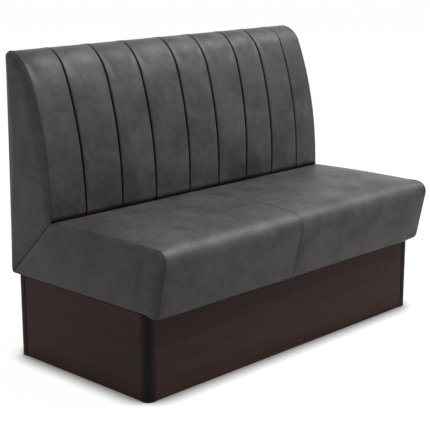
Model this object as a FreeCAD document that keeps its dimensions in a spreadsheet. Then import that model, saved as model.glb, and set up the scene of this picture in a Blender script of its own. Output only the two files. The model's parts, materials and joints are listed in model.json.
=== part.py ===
import FreeCAD, Part
import math
import os
import re
import Sketcher

from FreeCAD import Placement, Rotation, Vector

# Driving sizes in millimetres, angles in degrees, counts and shares as plain numbers
SIZES = {
    # The whole bench
    "bench_width": 1300, "bench_depth": 718, "bench_height": 992,
    # Plinth
    "plinth_height": 272, "plinth_depth": 613, "plinth_setback": 77, "panel_thickness": 18,
    "post_leg": 32, "post_block": 22, "post_radius": 20, "post_proud": 1.5, "post_chamber": 9,
    "bearer_thickness": 22, "bearer_height": 60, "bearer_spacing": 430,
    "block_side": 56, "block_height": 80, "block_lift": 25, "block_chamfer": 6,
    # Levelling feet
    "foot_inset": 48, "foot_clearance": 0.5, "pad_radius": 20, "pad_height": 9, "pad_floor": 3,
    "pivot_radius": 4, "pivot_gap": 0.3, "stem_radius": 4.6, "stem_length": 78,
    "nut_across_flats": 14, "nut_lift": 14, "nut_height": 6, "thread_gap": 0.4,
    "insert_radius": 6.2, "insert_length": 12, "insert_lip": 1.5, "insert_gap": 0.1,
    # Seat outline
    "seat_depth": 510, "seat_height": 478, "corner_drop": 4, "front_lean": 11.5,
    "nose_radius": 34, "hem_radius": 12, "seat_lift": 5, "edge_crown": 1.5, "seat_crown": 6,
    "seam_offset": 30, "seam_inset": 3.5, "edge_inset": 4, "edge_rounding": 10,
    # Seat inside
    "side_pad": 6, "seat_pad": 10, "soft_gap": 0.3, "front_foam": 12, "front_rail": 22,
    "side_board": 25, "frame_height": 118, "middle_rail_height": 90, "web_rail": 22,
    "web_rail_gap": 15, "tip_width": 14, "strap_width": 60, "strap_thickness": 2,
    "strap_ramp": 10, "strap_end_gap": 3, "felt_thickness": 3,
    "long_straps": 4, "cross_straps": 9,
    # Back outline
    "top_radius": 88, "knee_lean": 23, "top_flat": 8, "rear_rake": 10, "rear_edge_radius": 12,
    "channel_depth": 9, "shoulder_width": 9, "shoulder_depth": 2,
    # Back inside
    "quilt_thickness": 11, "back_foam": 39, "face_board": 6, "rear_skin": 1.5,
    "rear_board": 3.2, "flap_drop": 37, "rib_board": 25, "middle_rib": 22, "top_rail": 18,
    "top_rail_height": 80, "top_rail_drop": 80, "rib_foot_gap": 12,
    # Joints between the modules
    "batten_width": 60, "batten_thickness": 35, "batten_setback": 7,
    "bolt_spacing": 450, "bolt_radius": 4, "bolt_gap": 0.3, "bolt_head_radius": 7,
    "bolt_head": 5.5, "bolt_spare": 5, "bolt_nut": 6.5,
    "screw_radius": 3, "screw_length": 95, "screw_head_radius": 6.5, "screw_head": 4,
    "screw_setback": 110,
}

# Widths of the nine channels from the left, as shares of their mean width
CHANNEL_SHARES = [1.02, 1.04, 1.04, 1.10, 1.00, 1.00, 0.97, 0.97, 0.86]
# Where the seat's sections stand from the side edge to the seam, with how full each one is
STATION_SHARES = [0.0, 0.015, 0.07, 0.2, 0.5, 0.85, 0.985, 1.0]
FULLNESS_SHARES = [0.0, 0.28, 0.5, 0.78, 1.0, 0.97, 0.88, 0.8]
# How far each section is drawn in: towards the side edge, and towards the seam in the middle
EDGE_SHARES = [1.0, 0.4, 0.05, 0.0, 0.0, 0.0, 0.0, 0.0]
SEAM_SHARES = [0.0, 0.0, 0.0, 0.0, 0.0, 0.0, 0.3, 1.0]
# Where the seat's top is highest from nose to rear, and where the side covers start to turn in
CREST_SHARE = 0.4
EDGE_TURN_SHARE = 0.65

doc = FreeCAD.newDocument("booth_bench")
sheet = doc.addObject("Spreadsheet::Sheet", "Sizes")
for row, (name, number) in enumerate(SIZES.items(), start=1):
    sheet.set("A%d" % row, name)
    sheet.set("B%d" % row, str(number))
    sheet.setAlias("B%d" % row, name)
doc.recompute()
nodes = []


def cells(formula):
    """The formula with each size's name turned into its cell."""
    return re.sub(r"[a-z_]+", lambda word: "Sizes." + word[0] if word[0] in SIZES else word[0], formula)


def value(formula):
    """The formula's number at the sheet's present sizes."""
    number = sheet.evalExpression(cells(formula))
    return float(getattr(number, "Value", number))


def bind(thing, **formulas):
    """Ties properties of an object to formulas; a double underscore stands for a dot."""
    for name, formula in formulas.items():
        thing.setExpression(name.replace("__", "."), cells(formula))


def place(thing, x="0", y="0", z="0"):
    """Ties an object's place to formulas."""
    bind(thing, Placement__Base__x=x, Placement__Base__y=y, Placement__Base__z=z)


def keep(label, thing):
    """Counts an object as a node of the bench under its own label."""
    thing.Label = label
    nodes.append(thing)
    return thing


# Outlines shared by several pieces, as formulas in the sheet's names
FRONT = "(-bench_depth/2)"
FRAME_HALF = "(bench_width/2 - side_pad)"
FRAME_TOP = "(plinth_height + frame_height)"
FELT_TOP = f"({FRAME_TOP} + 2*strap_thickness + felt_thickness)"
FACE_Y = f"({FRONT} + seat_depth)"
CORNER_Z = "(seat_height - corner_drop)"
MITRE = "atan((seat_height - corner_drop - plinth_height)/(bench_depth - seat_depth))"
REAR_LAYERS = "(rear_skin + rear_board)"
BOARD_FRONT = "(quilt_thickness + back_foam)"
RIB_FRONT = f"({BOARD_FRONT} + face_board)"
NOSE_Y = f"({FRONT} + nose_radius + seat_lift*tan(front_lean))"
NOSE_Z = "(seat_height - nose_radius)"
RAIL_FACE = "(seat_pad + front_foam)"
HEM_Z = "(plinth_height + hem_radius)"


def mitre_z(y):
    """Height of the plane on which seat and back meet."""
    return f"(plinth_height + (bench_depth/2 - ({y}))*tan({MITRE}))"


def mitre_y(z):
    """Place along Y where the mitre plane passes a height."""
    return f"(bench_depth/2 - (({z}) - plinth_height)/tan({MITRE}))"


# The battens stand as near to the rear foot as the rear board and the plinth's top let them
BATTEN_START = (f"max((batten_thickness*sin({MITRE}) + batten_setback)/cos({MITRE}), "
                f"(batten_thickness*cos({MITRE}) + batten_setback)/sin({MITRE}))")
BATTEN_END = f"({BATTEN_START} + batten_width)"


def off_mitre(along, away):
    """A point measured from the bench's rear foot along the mitre plane, and square to it."""
    y = f"(bench_depth/2 - ({along})*cos({MITRE}) + ({away})*sin({MITRE}))"
    z = f"(plinth_height + ({along})*sin({MITRE}) + ({away})*cos({MITRE}))"
    return y, z


def rear_y(z, depth="0"):
    """The raked rear face, or a plane inside it."""
    rake = f"rear_rake*(({z}) - plinth_height)/(bench_height - plinth_height)"
    return f"(bench_depth/2 - {rake} - ({depth}))"


# The face's radius is the largest that the height over the seat and the depth of the top allow
TOP_RISE = "top_radius*(1 - sin(knee_lean))"
TOP_RUN = "top_radius*cos(knee_lean)"
CREST_LIMIT = f"({rear_y('(bench_height - rear_edge_radius)')} - rear_edge_radius - top_flat)"
HIGH_RADIUS = f"(bench_height - seat_height - {TOP_RISE})/sin(knee_lean)"
DEEP_RADIUS = f"({CREST_LIMIT} - {FACE_Y} - {TOP_RUN})/(1 - cos(knee_lean))"
FACE_RADIUS = f"min({HIGH_RADIUS}, {DEEP_RADIUS})"
FACE_START_Z = f"(bench_height - {TOP_RISE} - {FACE_RADIUS}*sin(knee_lean))"


def front_y(z, depth="0"):
    """The seat's leaning front face, or a plane inside it."""
    reach = f"(nose_radius - ({depth}))/cos(front_lean)"
    return f"({NOSE_Y} - {reach} + ({NOSE_Z} - ({z}))*tan(front_lean))"


HEM_Y = front_y(HEM_Z, "hem_radius")


def hem_low(depth):
    """Where the cover's hem leaves the seat's underside."""
    return HEM_Y, f"({HEM_Z} - hem_radius + ({depth}))"


def nose_low(depth):
    """Where the seat's front face runs into the round of its nose."""
    reach = f"(nose_radius - ({depth}))"
    return f"({NOSE_Y} - {reach}*cos(front_lean))", f"({NOSE_Z} - {reach}*sin(front_lean))"


def nose_top(depth):
    """Where the round of the nose runs into the seat's top."""
    return NOSE_Y, f"(seat_height - ({depth}))"


def seat_end(depth):
    """Where the seat's top ends on the mitre."""
    z = f"({CORNER_Z} - ({depth}))"
    return mitre_y(z), z


def face_foot(depth):
    """Where the back's front face stands on the mitre."""
    y = f"({FACE_Y} + ({depth}))"
    return y, mitre_z(y)


def face_start(depth):
    """Where the back's face starts to lean, at the seat or above it."""
    return f"({FACE_Y} + ({depth}))", FACE_START_Z


def knee(depth):
    """Where the gentle face meets the tighter curve of the top."""
    radius = f"({FACE_RADIUS} - ({depth}))"
    y = f"({FACE_Y} + {FACE_RADIUS} - {radius}*cos(knee_lean))"
    z = f"({FACE_START_Z} + {radius}*sin(knee_lean))"
    return y, z


def crest(depth):
    """The top of the back, where the curve has turned level."""
    y = f"({FACE_Y} + {FACE_RADIUS} - ({FACE_RADIUS} - top_radius)*cos(knee_lean))"
    return y, f"(bench_height - ({depth}))"


def outline(sketch, corners, arcs=None):
    """Draws a closed outline whose corners and arc radii follow formulas.

    arcs gives, by the number of its first corner, an edge's radius and the side that its
    centre lies on: 1 to the left of the way round, -1 to the right.
    """
    arcs = arcs or {}
    points = [Vector(value(across), value(up), 0) for across, up in corners]
    starts = {}
    ends = {}
    for index, start in enumerate(points):
        stop = points[(index + 1) % len(points)]
        if index not in arcs:
            geometry = sketch.addGeometry(Part.LineSegment(start, stop), False)
            starts[index], ends[index] = (geometry, 1), (geometry, 2)
            continue
        radius, side = arcs[index]
        reach = value(radius)
        chord = stop - start
        rise = math.sqrt(reach ** 2 - chord.Length ** 2 / 4)
        normal = Vector(-chord.y, chord.x, 0).normalize()
        centre = (start + stop) / 2 + normal * rise * side
        angles = [math.atan2(end.y - centre.y, end.x - centre.x) for end in (start, stop)]
        circle = Part.Circle(centre, Vector(0, 0, 1), reach)
        geometry = sketch.addGeometry(Part.ArcOfCircle(circle, *angles[::side]), False)
        starts[index], ends[index] = ((geometry, 1), (geometry, 2))[::side]
        rule = sketch.addConstraint(Sketcher.Constraint("Radius", geometry, reach))
        sketch.setExpression("Constraints[%d]" % rule, cells(radius))
    for index in range(len(points)):
        following = (index + 1) % len(points)
        sketch.addConstraint(Sketcher.Constraint("Coincident", *ends[index], *starts[following]))
    for index, (across, up) in enumerate(corners):
        for kind, formula, axis in (("DistanceX", across, -2), ("DistanceY", up, -1)):
            number = value(formula)
            if formula == "0":
                sketch.addConstraint(Sketcher.Constraint("PointOnObject", *starts[index], axis))
                continue
            rule = sketch.addConstraint(Sketcher.Constraint(kind, -1, 1, *starts[index], number))
            sketch.setExpression("Constraints[%d]" % rule, cells(formula))


def new_sketch(body, role):
    """A sketch on one of the body's own origin planes."""
    sketch = body.newObject("Sketcher::SketchObject", body.Name + "_outline")
    plane = next(item for item in body.Origin.OriginFeatures if item.Role == role)
    sketch.AttachmentSupport = [(plane, "")]
    sketch.MapMode = "FlatFace"
    return sketch


def board(label, corners, length, arcs=None, x="0", z="0", role="YZ_Plane", middle=True, hole=None):
    """A body cut to an outline and as long as the formula says."""
    body = doc.addObject("PartDesign::Body", label)
    sketch = new_sketch(body, role)
    outline(sketch, corners, arcs)
    if hole:
        outline(sketch, hole)
    pad = body.newObject("PartDesign::Pad", label + "_pad")
    pad.Profile = sketch
    pad.Midplane = middle
    bind(pad, Length=length)
    place(body, x=x, z=z)
    sketch.Visibility = False
    return keep(label, body)


def block(label, x, y, z, length, width, height):
    """A plain rectangular piece."""
    piece = doc.addObject("Part::Box", label)
    bind(piece, Length=length, Width=width, Height=height)
    place(piece, x, y, z)
    return keep(label, piece)


def group(label, pieces):
    """Identical or sewn-together solids that share one node."""
    piece = doc.addObject("Part::Feature", label)
    piece.Shape = pieces[0] if len(pieces) == 1 else Part.makeCompound(pieces)
    return keep(label, piece)


# Plinth
POST_FRONT = f"({FRONT} + plinth_setback)"
POST_REAR = f"({POST_FRONT} + plinth_depth)"
PANEL_FRONT = f"({POST_FRONT} + post_proud)"
PANEL_INNER = f"({PANEL_FRONT} + panel_thickness)"
PANEL_REAR = f"({POST_REAR} - post_proud)"
PANEL_HALF = "(bench_width/2 - post_proud)"


def make_plinth():
    """Four laminate panels held by moulded corner posts, with bearers between them."""
    long_panel = "bench_width - 2*post_block"
    short_panel = "plinth_depth - 2*post_block"
    panel_start = "-bench_width/2 + post_block"
    rear_start = f"{PANEL_REAR} - panel_thickness"
    for name, start in (("front", PANEL_FRONT), ("rear", rear_start)):
        block("plinth_%s_panel" % name, panel_start, start, "0",
              long_panel, "panel_thickness", "plinth_height")
    side_start = f"{POST_FRONT} + post_block"
    left_start = f"-{PANEL_HALF}"
    right_start = f"{PANEL_HALF} - panel_thickness"
    for name, start in (("left", left_start), ("right", right_start)):
        block("plinth_%s_panel" % name, start, side_start, "0",
              "panel_thickness", short_panel, "plinth_height")
    bearer_length = f"{PANEL_REAR} - {PANEL_FRONT} - 2*panel_thickness"
    for side, sign in (("left", "-"), ("right", "+")):
        start = f"{sign}bearer_spacing/2 - bearer_thickness/2"
        block("plinth_bearer_" + side, start, PANEL_INNER, "plinth_height - bearer_height",
              "bearer_thickness", bearer_length, "bearer_height")


def make_corner(name, x_sign, y_sign):
    """One corner: its post, glue block, insert and levelling foot."""
    corner_x = f"({x_sign}1)*bench_width/2"
    corner_y = POST_FRONT if y_sign == "+" else POST_REAR

    def inward(across, along):
        """A plan point measured inwards from the corner of the plinth."""
        across_sign = "-" if x_sign == "+" else "+"
        return f"({corner_x} {across_sign} ({across}))", f"({corner_y} {y_sign} ({along}))"

    lip = "post_proud"
    post = [inward("post_leg", "0"), inward("post_radius", "0"), inward("0", "post_radius"),
            inward("0", "post_leg"), inward(lip, "post_leg"), inward(lip, "post_block"),
            inward("post_block", "post_block"), inward("post_block", lip), inward("post_leg", lip)]
    low = "(post_block/2 - post_chamber/2)"
    high = "(post_block/2 + post_chamber/2)"
    chamber = [inward(low, low), inward(high, low), inward(high, high), inward(low, high)]
    turn = 1 if x_sign == y_sign else -1
    board("corner_post_" + name, post, "plinth_height", {1: ("post_radius", turn)}, role="XY_Plane",
          middle=False, hole=chamber)

    near = "(post_proud + panel_thickness)"
    far = "(post_proud + panel_thickness + block_side)"
    cut = "(post_proud + panel_thickness + block_chamfer)"
    shape = [inward(cut, near), inward(far, near), inward(far, far), inward(near, far), inward(near, cut)]
    timber = board("corner_block_" + name, shape, "block_height", z="block_lift", role="XY_Plane",
                   middle=False)
    foot_x, foot_y = inward("foot_inset", "foot_inset")
    seat_hole = timber.newObject("Sketcher::SketchObject", "hole_" + name)
    plane = next(item for item in timber.Origin.OriginFeatures if item.Role == "XY_Plane")
    seat_hole.AttachmentSupport = [(plane, "")]
    seat_hole.MapMode = "FlatFace"
    centre = Vector(value(foot_x), value(foot_y), 0)
    hole_radius = "insert_radius + insert_gap"
    seat_hole.addGeometry(Part.Circle(centre, Vector(0, 0, 1), value(hole_radius)), False)
    rules = [("Radius", (0,), hole_radius), ("DistanceX", (-1, 1, 0, 3), foot_x),
             ("DistanceY", (-1, 1, 0, 3), foot_y)]
    for kind, targets, formula in rules:
        rule = seat_hole.addConstraint(Sketcher.Constraint(kind, *targets, value(formula)))
        seat_hole.setExpression("Constraints[%d]" % rule, cells(formula))
    bore = timber.newObject("PartDesign::Pocket", "bore_" + name)
    bore.Profile = seat_hole
    bore.Type = "ThroughAll"
    bore.Reversed = True
    return foot_x, foot_y


def turned(label, corners, x, y, arcs=None):
    """A piece turned about an upright axis."""
    body = doc.addObject("PartDesign::Body", label)
    sketch = new_sketch(body, "XZ_Plane")
    outline(sketch, corners, arcs)
    spin = body.newObject("PartDesign::Revolution", label + "_turned")
    spin.Profile = sketch
    spin.ReferenceAxis = (sketch, ["V_Axis"])
    spin.Angle = 360
    place(body, x, y)
    return body


def make_foot(name, x, y):
    """A moulded pad, and the threaded stem whose plain end turns in it."""
    floor = "foot_clearance"
    top = "(foot_clearance + pad_height)"
    seat = "(foot_clearance + pad_floor)"
    bore = "(pivot_radius + pivot_gap)"
    pad = [("0", floor), ("pad_radius", floor), ("pad_radius", top), (bore, top), (bore, seat), ("0", seat)]
    keep("foot_pad_" + name, turned("foot_pad_" + name, pad, x, y))

    tip = f"({seat} + pivot_gap)"
    flats = "(foot_clearance + nut_lift)"
    stem_top = "(foot_clearance + nut_lift + stem_length)"
    stem = [("0", tip), ("pivot_radius", tip), ("pivot_radius", flats), ("stem_radius", flats),
            ("stem_radius", stem_top), ("0", stem_top)]
    body = turned("foot_stem_" + name, stem, x, y)
    hexagon = new_sketch(body, "XY_Plane")
    hexagon.setExpression("AttachmentOffset.Base.z", cells(flats))
    corner = "nut_across_flats/sqrt(3)"
    ring = [(f"{corner}*cos(360*{turn}/6)", f"{corner}*sin(360*{turn}/6)") for turn in range(6)]
    ring[0] = (corner, "0")
    ring[3] = ("-" + corner, "0")
    outline(hexagon, ring)
    pad = body.newObject("PartDesign::Pad", "flats_" + name)
    pad.Profile = hexagon
    bind(pad, Length="nut_height")
    keep("foot_stem_" + name, body)


def insert_shape(x, y):
    """A threaded insert, pressed into the underside of a glue block with its lip left proud."""
    foot = Vector(value(x), value(y), value("block_lift - insert_lip"))
    barrel = Part.makeCylinder(value("insert_radius"), value("insert_lip + insert_length"), foot)
    bore = Part.makeCylinder(value("stem_radius + thread_gap"), value("insert_lip + insert_length"), foot)
    return barrel.cut(bore)


# Seat frame
def make_seat_frame():
    """A box of boards whose ends follow the leaning front and the mitre at the rear."""
    inside = f"2*({FRAME_HALF} - side_board)"
    rail_back = f"({RAIL_FACE} + front_rail)"
    front = [(front_y("plinth_height", RAIL_FACE), "plinth_height"),
             (front_y("plinth_height", rail_back), "plinth_height"),
             (front_y(FRAME_TOP, rail_back), FRAME_TOP), (front_y(FRAME_TOP, RAIL_FACE), FRAME_TOP)]
    board("seat_front_rail", front, inside)

    tip = "(bench_depth/2 - tip_width)"
    side = [(front_y("plinth_height", RAIL_FACE), "plinth_height"), (tip, "plinth_height"),
            (tip, mitre_z(tip)), (mitre_y(FRAME_TOP), FRAME_TOP), (front_y(FRAME_TOP, RAIL_FACE), FRAME_TOP)]
    for name, sign in (("left", "-"), ("right", "+")):
        board("seat_side_rail_" + name, side, "side_board", x=f"{sign}({FRAME_HALF} - side_board/2)")

    web_rear = f"({mitre_y(FRAME_TOP)} - web_rail_gap)"
    web_front = f"({web_rear} - web_rail)"
    web = [(web_front, "plinth_height"), (web_rear, "plinth_height"), (web_rear, FRAME_TOP),
           (web_front, FRAME_TOP)]
    board("seat_web_rail", web, inside)

    low = front_y("plinth_height", rail_back)
    top = "(plinth_height + middle_rail_height)"
    middle = [(low, "plinth_height"), (web_front, "plinth_height"), (web_front, top),
              (front_y(top, rail_back), top)]
    for name, sign in (("left", "-"), ("right", "+")):
        board("seat_middle_rail_" + name, middle, "bearer_thickness", x=f"{sign}bearer_spacing/2")


def woven(stations, first, start, stop, level):
    """The side outline of one strap, lifted over every second strap that it crosses."""
    half = value("strap_width/2")
    ramp = value("strap_ramp")
    thick = value("strap_thickness")
    under = [(start, level)]
    for number, station in enumerate(stations):
        if (number + first) % 2:
            continue
        under += [(station - half - ramp, level), (station - half, level + thick),
                  (station + half, level + thick), (station + half + ramp, level)]
    under.append((stop, level))
    over = [(along, up + thick) for along, up in reversed(under)]
    return under + over + under[:1]


def make_webbing():
    """Straps from side to side and from front to rear, woven over and under each other."""
    level = value(FRAME_TOP)
    half = value("strap_width/2")
    front = value(front_y(FRAME_TOP, RAIL_FACE)) + value("strap_end_gap")
    rear = value(f"{mitre_y(FRAME_TOP)} - web_rail_gap")
    reach = value(FRAME_HALF)
    long_count = int(value("long_straps"))
    cross_count = int(value("cross_straps"))
    depths = [front + (rear - front) * (number + 0.5) / long_count for number in range(long_count)]
    widths = [-reach + 2 * reach * (number + 0.5) / cross_count for number in range(cross_count)]
    long_straps = []
    for number, depth in enumerate(depths):
        path = woven(widths, number, -reach, reach, level)
        wire = Part.makePolygon([Vector(along, depth - half, up) for along, up in path])
        long_straps.append(Part.Face(wire).extrude(Vector(0, 2 * half, 0)))
    cross_straps = []
    for number, width in enumerate(widths):
        path = woven(depths, number + 1, front, rear, level)
        wire = Part.makePolygon([Vector(width - half, along, up) for along, up in path])
        cross_straps.append(Part.Face(wire).extrude(Vector(2 * half, 0, 0)))
    group("seat_webbing_long", long_straps)
    group("seat_webbing_cross", cross_straps)
    felt_front = front_y(FELT_TOP, RAIL_FACE) + " + strap_end_gap"
    felt_rear = f"{mitre_y(FELT_TOP)} - strap_end_gap"
    block("seat_felt", "-" + FRAME_HALF, felt_front, f"{FRAME_TOP} + 2*strap_thickness",
          "2*" + FRAME_HALF, f"{felt_rear} - ({felt_front})", "felt_thickness")


# Seat's soft forms
def at(x, point):
    """A point given by its two formulas, in a section at one place across the width."""
    return Vector(x, value(point[0]), value(point[1]))


def seat_rim(x, depth, fullness):
    """The seat's outer line at one section: hem, front, nose, crown and end on the mitre."""
    lean = math.radians(value("front_lean"))
    lift = value("seat_lift") * fullness
    nose_y = value(NOSE_Y) - lift * math.tan(lean)
    nose_z = value(NOSE_Z) + lift
    nose = value("nose_radius") - depth
    hem = value("hem_radius") - depth
    hem_y = value(HEM_Y)
    hem_z = value(HEM_Z)

    def around(centre_y, centre_z, radius, angle):
        return Vector(x, centre_y + radius * math.cos(angle), centre_z + radius * math.sin(angle))

    down = math.radians(270)
    face = math.radians(180) + lean
    up = math.radians(90)
    end = at(x, seat_end(str(depth)))
    top = around(nose_y, nose_z, nose, up)
    crown = value("edge_crown") + value("seat_crown") * fullness
    crest_point = Vector(x, top.y + (end.y - top.y) * CREST_SHARE, top.z + crown)
    return {
        "hem": [around(hem_y, hem_z, hem, angle) for angle in (down, (down + face) / 2, face)],
        "nose": [around(nose_y, nose_z, nose, angle) for angle in (face, (face + up) / 2, up)],
        "crown": [top, crest_point, end],
    }


def seat_cover_section(x, inset, fullness):
    """A closed section of the seat's cover, filled in as far as its lining."""
    rim = seat_rim(x, inset, fullness)
    lining_end = at(x, seat_end("seat_pad"))
    lining_hem = at(x, hem_low("seat_pad"))
    return Part.Wire([
        Part.Arc(*rim["hem"]).toShape(),
        Part.LineSegment(rim["hem"][2], rim["nose"][0]).toShape(),
        Part.Arc(*rim["nose"]).toShape(),
        Part.Arc(*rim["crown"]).toShape(),
        Part.LineSegment(rim["crown"][2], lining_end).toShape(),
        Part.LineSegment(lining_end, lining_hem).toShape(),
        Part.LineSegment(lining_hem, rim["hem"][0]).toShape(),
    ])


def seat_lining():
    """The space inside the seat's cover, from side to side."""
    x = -value(FRAME_HALF)
    rim = seat_rim(x, value("seat_pad"), 0)
    end = at(x, seat_end("seat_pad"))
    section = Part.Wire([
        Part.Arc(*rim["hem"]).toShape(),
        Part.LineSegment(rim["hem"][2], rim["nose"][0]).toShape(),
        Part.Arc(*rim["nose"]).toShape(),
        Part.LineSegment(rim["nose"][2], end).toShape(),
        Part.LineSegment(end, rim["hem"][0]).toShape(),
    ])
    return Part.Face(section).extrude(Vector(-2 * x, 0, 0))


def seat_side_section(x, inset):
    """A closed section of the seat's side cover, down to the rear foot of the mitre."""
    rim = seat_rim(x, inset, 0)
    base = value("plinth_height") + inset
    rear = Vector(x, value(mitre_y(str(base))), base)
    edges = [
        Part.Arc(*rim["hem"]).toShape(),
        Part.LineSegment(rim["hem"][2], rim["nose"][0]).toShape(),
        Part.Arc(*rim["nose"]).toShape(),
        Part.Arc(*rim["crown"]).toShape(),
        Part.LineSegment(rim["crown"][2], rear).toShape(),
        Part.LineSegment(rear, rim["hem"][0]).toShape(),
    ]
    return Part.Wire(edges)


def edge_stations(sign):
    """Where the side covers' sections stand, and how far each one draws in."""
    near = value(FRAME_HALF)
    far = value("bench_width/2")
    inner_inset = value("edge_inset")
    outer_inset = value("edge_rounding")
    middle_inset = inner_inset + (outer_inset - inner_inset) * (1 - EDGE_TURN_SHARE)
    middle = near + (far - near) * EDGE_TURN_SHARE
    return [(sign * near, inner_inset), (sign * middle, middle_inset), (sign * far, outer_inset)]


def make_seat_soft():
    """Foam, front foam and the cover in two halves with its side panels."""
    seam = -value("seam_offset")
    reach = value(FRAME_HALF)
    draws = zip(EDGE_SHARES, SEAM_SHARES)
    insets = [edge * value("edge_inset") + middle * value("seam_inset") for edge, middle in draws]
    lining = seat_lining()
    for name, edge in (("left", -reach), ("right", reach)):
        places = [edge + (seam - edge) * share for share in STATION_SHARES]
        sections = [seat_cover_section(*row) for row in zip(places, insets, FULLNESS_SHARES)]
        group("seat_cover_" + name, [Part.makeLoft(sections, True, True).cut(lining)])
    skin = "(seat_pad + soft_gap)"
    foam = [(front_y(FELT_TOP, skin), FELT_TOP), nose_low(skin), nose_top(skin), seat_end(skin),
            (mitre_y(FELT_TOP), FELT_TOP)]
    board("seat_foam", foam, "2*" + FRAME_HALF, {1: (f"(nose_radius - {skin})", -1)})
    for name, sign in (("left", -1), ("right", 1)):
        sections = [seat_side_section(*row) for row in edge_stations(sign)]
        group("seat_side_cover_" + name, [Part.makeLoft(sections, True, True)])
    high = f"({FELT_TOP} - soft_gap)"
    layer = [(front_y(HEM_Z, skin), HEM_Z), (front_y(HEM_Z, RAIL_FACE), HEM_Z),
             (front_y(high, RAIL_FACE), high), (front_y(high, skin), high)]
    board("seat_front_foam", layer, "2*" + FRAME_HALF)


# Back frame
def make_back_frame():
    """Ribs cut to the back's curve, standing on the mitre, with rails let into them."""
    foot = face_foot(RIB_FRONT)
    shoulder = face_start(RIB_FRONT)
    bend = knee(RIB_FRONT)
    peak = crest(RIB_FRONT)
    top = f"(bench_height - {RIB_FRONT})"
    rail_high = "(bench_height - top_rail_drop)"
    rail_low = "(bench_height - top_rail_drop - top_rail_height)"
    notch = [(rear_y(top, REAR_LAYERS), top), (rear_y(rail_high, REAR_LAYERS), rail_high),
             (rear_y(rail_high, REAR_LAYERS + " + top_rail"), rail_high),
             (rear_y(rail_low, REAR_LAYERS + " + top_rail"), rail_low),
             (rear_y(rail_low, REAR_LAYERS), rail_low)]
    curves = {1: (f"({FACE_RADIUS} - {RIB_FRONT})", -1), 2: (f"(top_radius - {RIB_FRONT})", -1)}
    tip = "(bench_depth/2 - tip_width)"
    tip_top = f"({mitre_z(tip)} + tip_width)"
    heel = [(rear_y(tip_top, REAR_LAYERS), tip_top), (tip, mitre_z(tip))]
    side = [foot, shoulder, bend, peak] + notch + heel
    for name, sign in (("left", "-"), ("right", "+")):
        board("back_side_rib_" + name, side, "rib_board", curves, x=f"{sign}({FRAME_HALF} - rib_board/2)")

    corner_y, corner_z = off_mitre(BATTEN_START, "batten_thickness")
    seat_on = [(rear_y(corner_z, REAR_LAYERS), corner_z), (corner_y, corner_z),
               off_mitre(BATTEN_END, "batten_thickness"), off_mitre(BATTEN_END, "0")]
    middle = [foot, shoulder, bend, peak] + notch + seat_on
    for name, sign in (("left", "-"), ("right", "+")):
        board("back_middle_rib_" + name, middle, "middle_rib", curves, x=f"{sign}bearer_spacing/2")

    rail = [(rear_y(rail_low, REAR_LAYERS), rail_low), (rear_y(rail_high, REAR_LAYERS), rail_high),
            (rear_y(rail_high, REAR_LAYERS + " + top_rail"), rail_high),
            (rear_y(rail_low, REAR_LAYERS + " + top_rail"), rail_low)]
    board("back_top_rail", rail, "2*" + FRAME_HALF)

    layers = [foot, shoulder, bend, peak, (rear_y(top, REAR_LAYERS), top)]
    inner = [(rear_y(f"(bench_height - {BOARD_FRONT})", REAR_LAYERS), f"(bench_height - {BOARD_FRONT})"),
             crest(BOARD_FRONT), knee(BOARD_FRONT), face_start(BOARD_FRONT), face_foot(BOARD_FRONT)]
    board("back_face_board", layers + inner, "2*" + FRAME_HALF,
          {**curves, 6: (f"(top_radius - {BOARD_FRONT})", 1), 7: (f"({FACE_RADIUS} - {BOARD_FRONT})", 1)})


# Back's soft forms
def make_back_foam():
    """One slab of foam, bent over the face board and cut level with the rear."""
    skin = "(quilt_thickness + soft_gap)"
    high = f"(bench_height - {skin})"
    low = f"(bench_height - {BOARD_FRONT})"
    rear = REAR_LAYERS + " + soft_gap"
    slab = [face_foot(skin), face_start(skin), knee(skin), crest(skin), (rear_y(high, rear), high),
            (rear_y(low, rear), low), crest(BOARD_FRONT), knee(BOARD_FRONT), face_start(BOARD_FRONT),
            face_foot(BOARD_FRONT)]
    curves = {1: (f"({FACE_RADIUS} - {skin})", -1), 2: (f"(top_radius - {skin})", -1),
              6: (f"(top_radius - {BOARD_FRONT})", 1), 7: (f"({FACE_RADIUS} - {BOARD_FRONT})", 1)}
    board("back_foam", slab, "2*" + FRAME_HALF, curves)


def back_curve(x, depth):
    """The back's front line at one section: foot, start, and the two arcs to the crest."""
    lean = math.radians(value("knee_lean"))
    radius = value(FACE_RADIUS) - depth
    centre_y = value(FACE_Y) + value(FACE_RADIUS)
    centre_z = value(FACE_START_Z)
    middle = Vector(x, centre_y - radius * math.cos(lean / 2), centre_z + radius * math.sin(lean / 2))
    tight = value("top_radius") - depth
    peak = at(x, crest(str(depth)))
    bend = (lean + math.radians(90)) / 2
    hub_z = peak.z - tight
    turn = Vector(x, peak.y - tight * math.cos(bend), hub_z + tight * math.sin(bend))
    start = at(x, face_start(str(depth)))
    joint = at(x, knee(str(depth)))
    return {"foot": at(x, face_foot(str(depth))), "face": [start, middle, joint], "top": [joint, turn, peak]}


def rear_turn(x, depth):
    """The rounded rear edge of the top, down to the end of the cover's flap."""
    radius = value("rear_edge_radius")
    high = value("bench_height") - depth
    side = value(rear_y(str(high - radius)))
    centre_y = side - radius
    slant = math.radians(45)
    turn = Vector(x, centre_y + radius * math.sin(slant), high - radius + radius * math.cos(slant))
    low = value("bench_height - flap_drop")
    flap = Vector(x, value(rear_y(str(low))), low)
    return [Vector(x, centre_y, high), turn, Vector(x, side, high - radius)], flap


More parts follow.
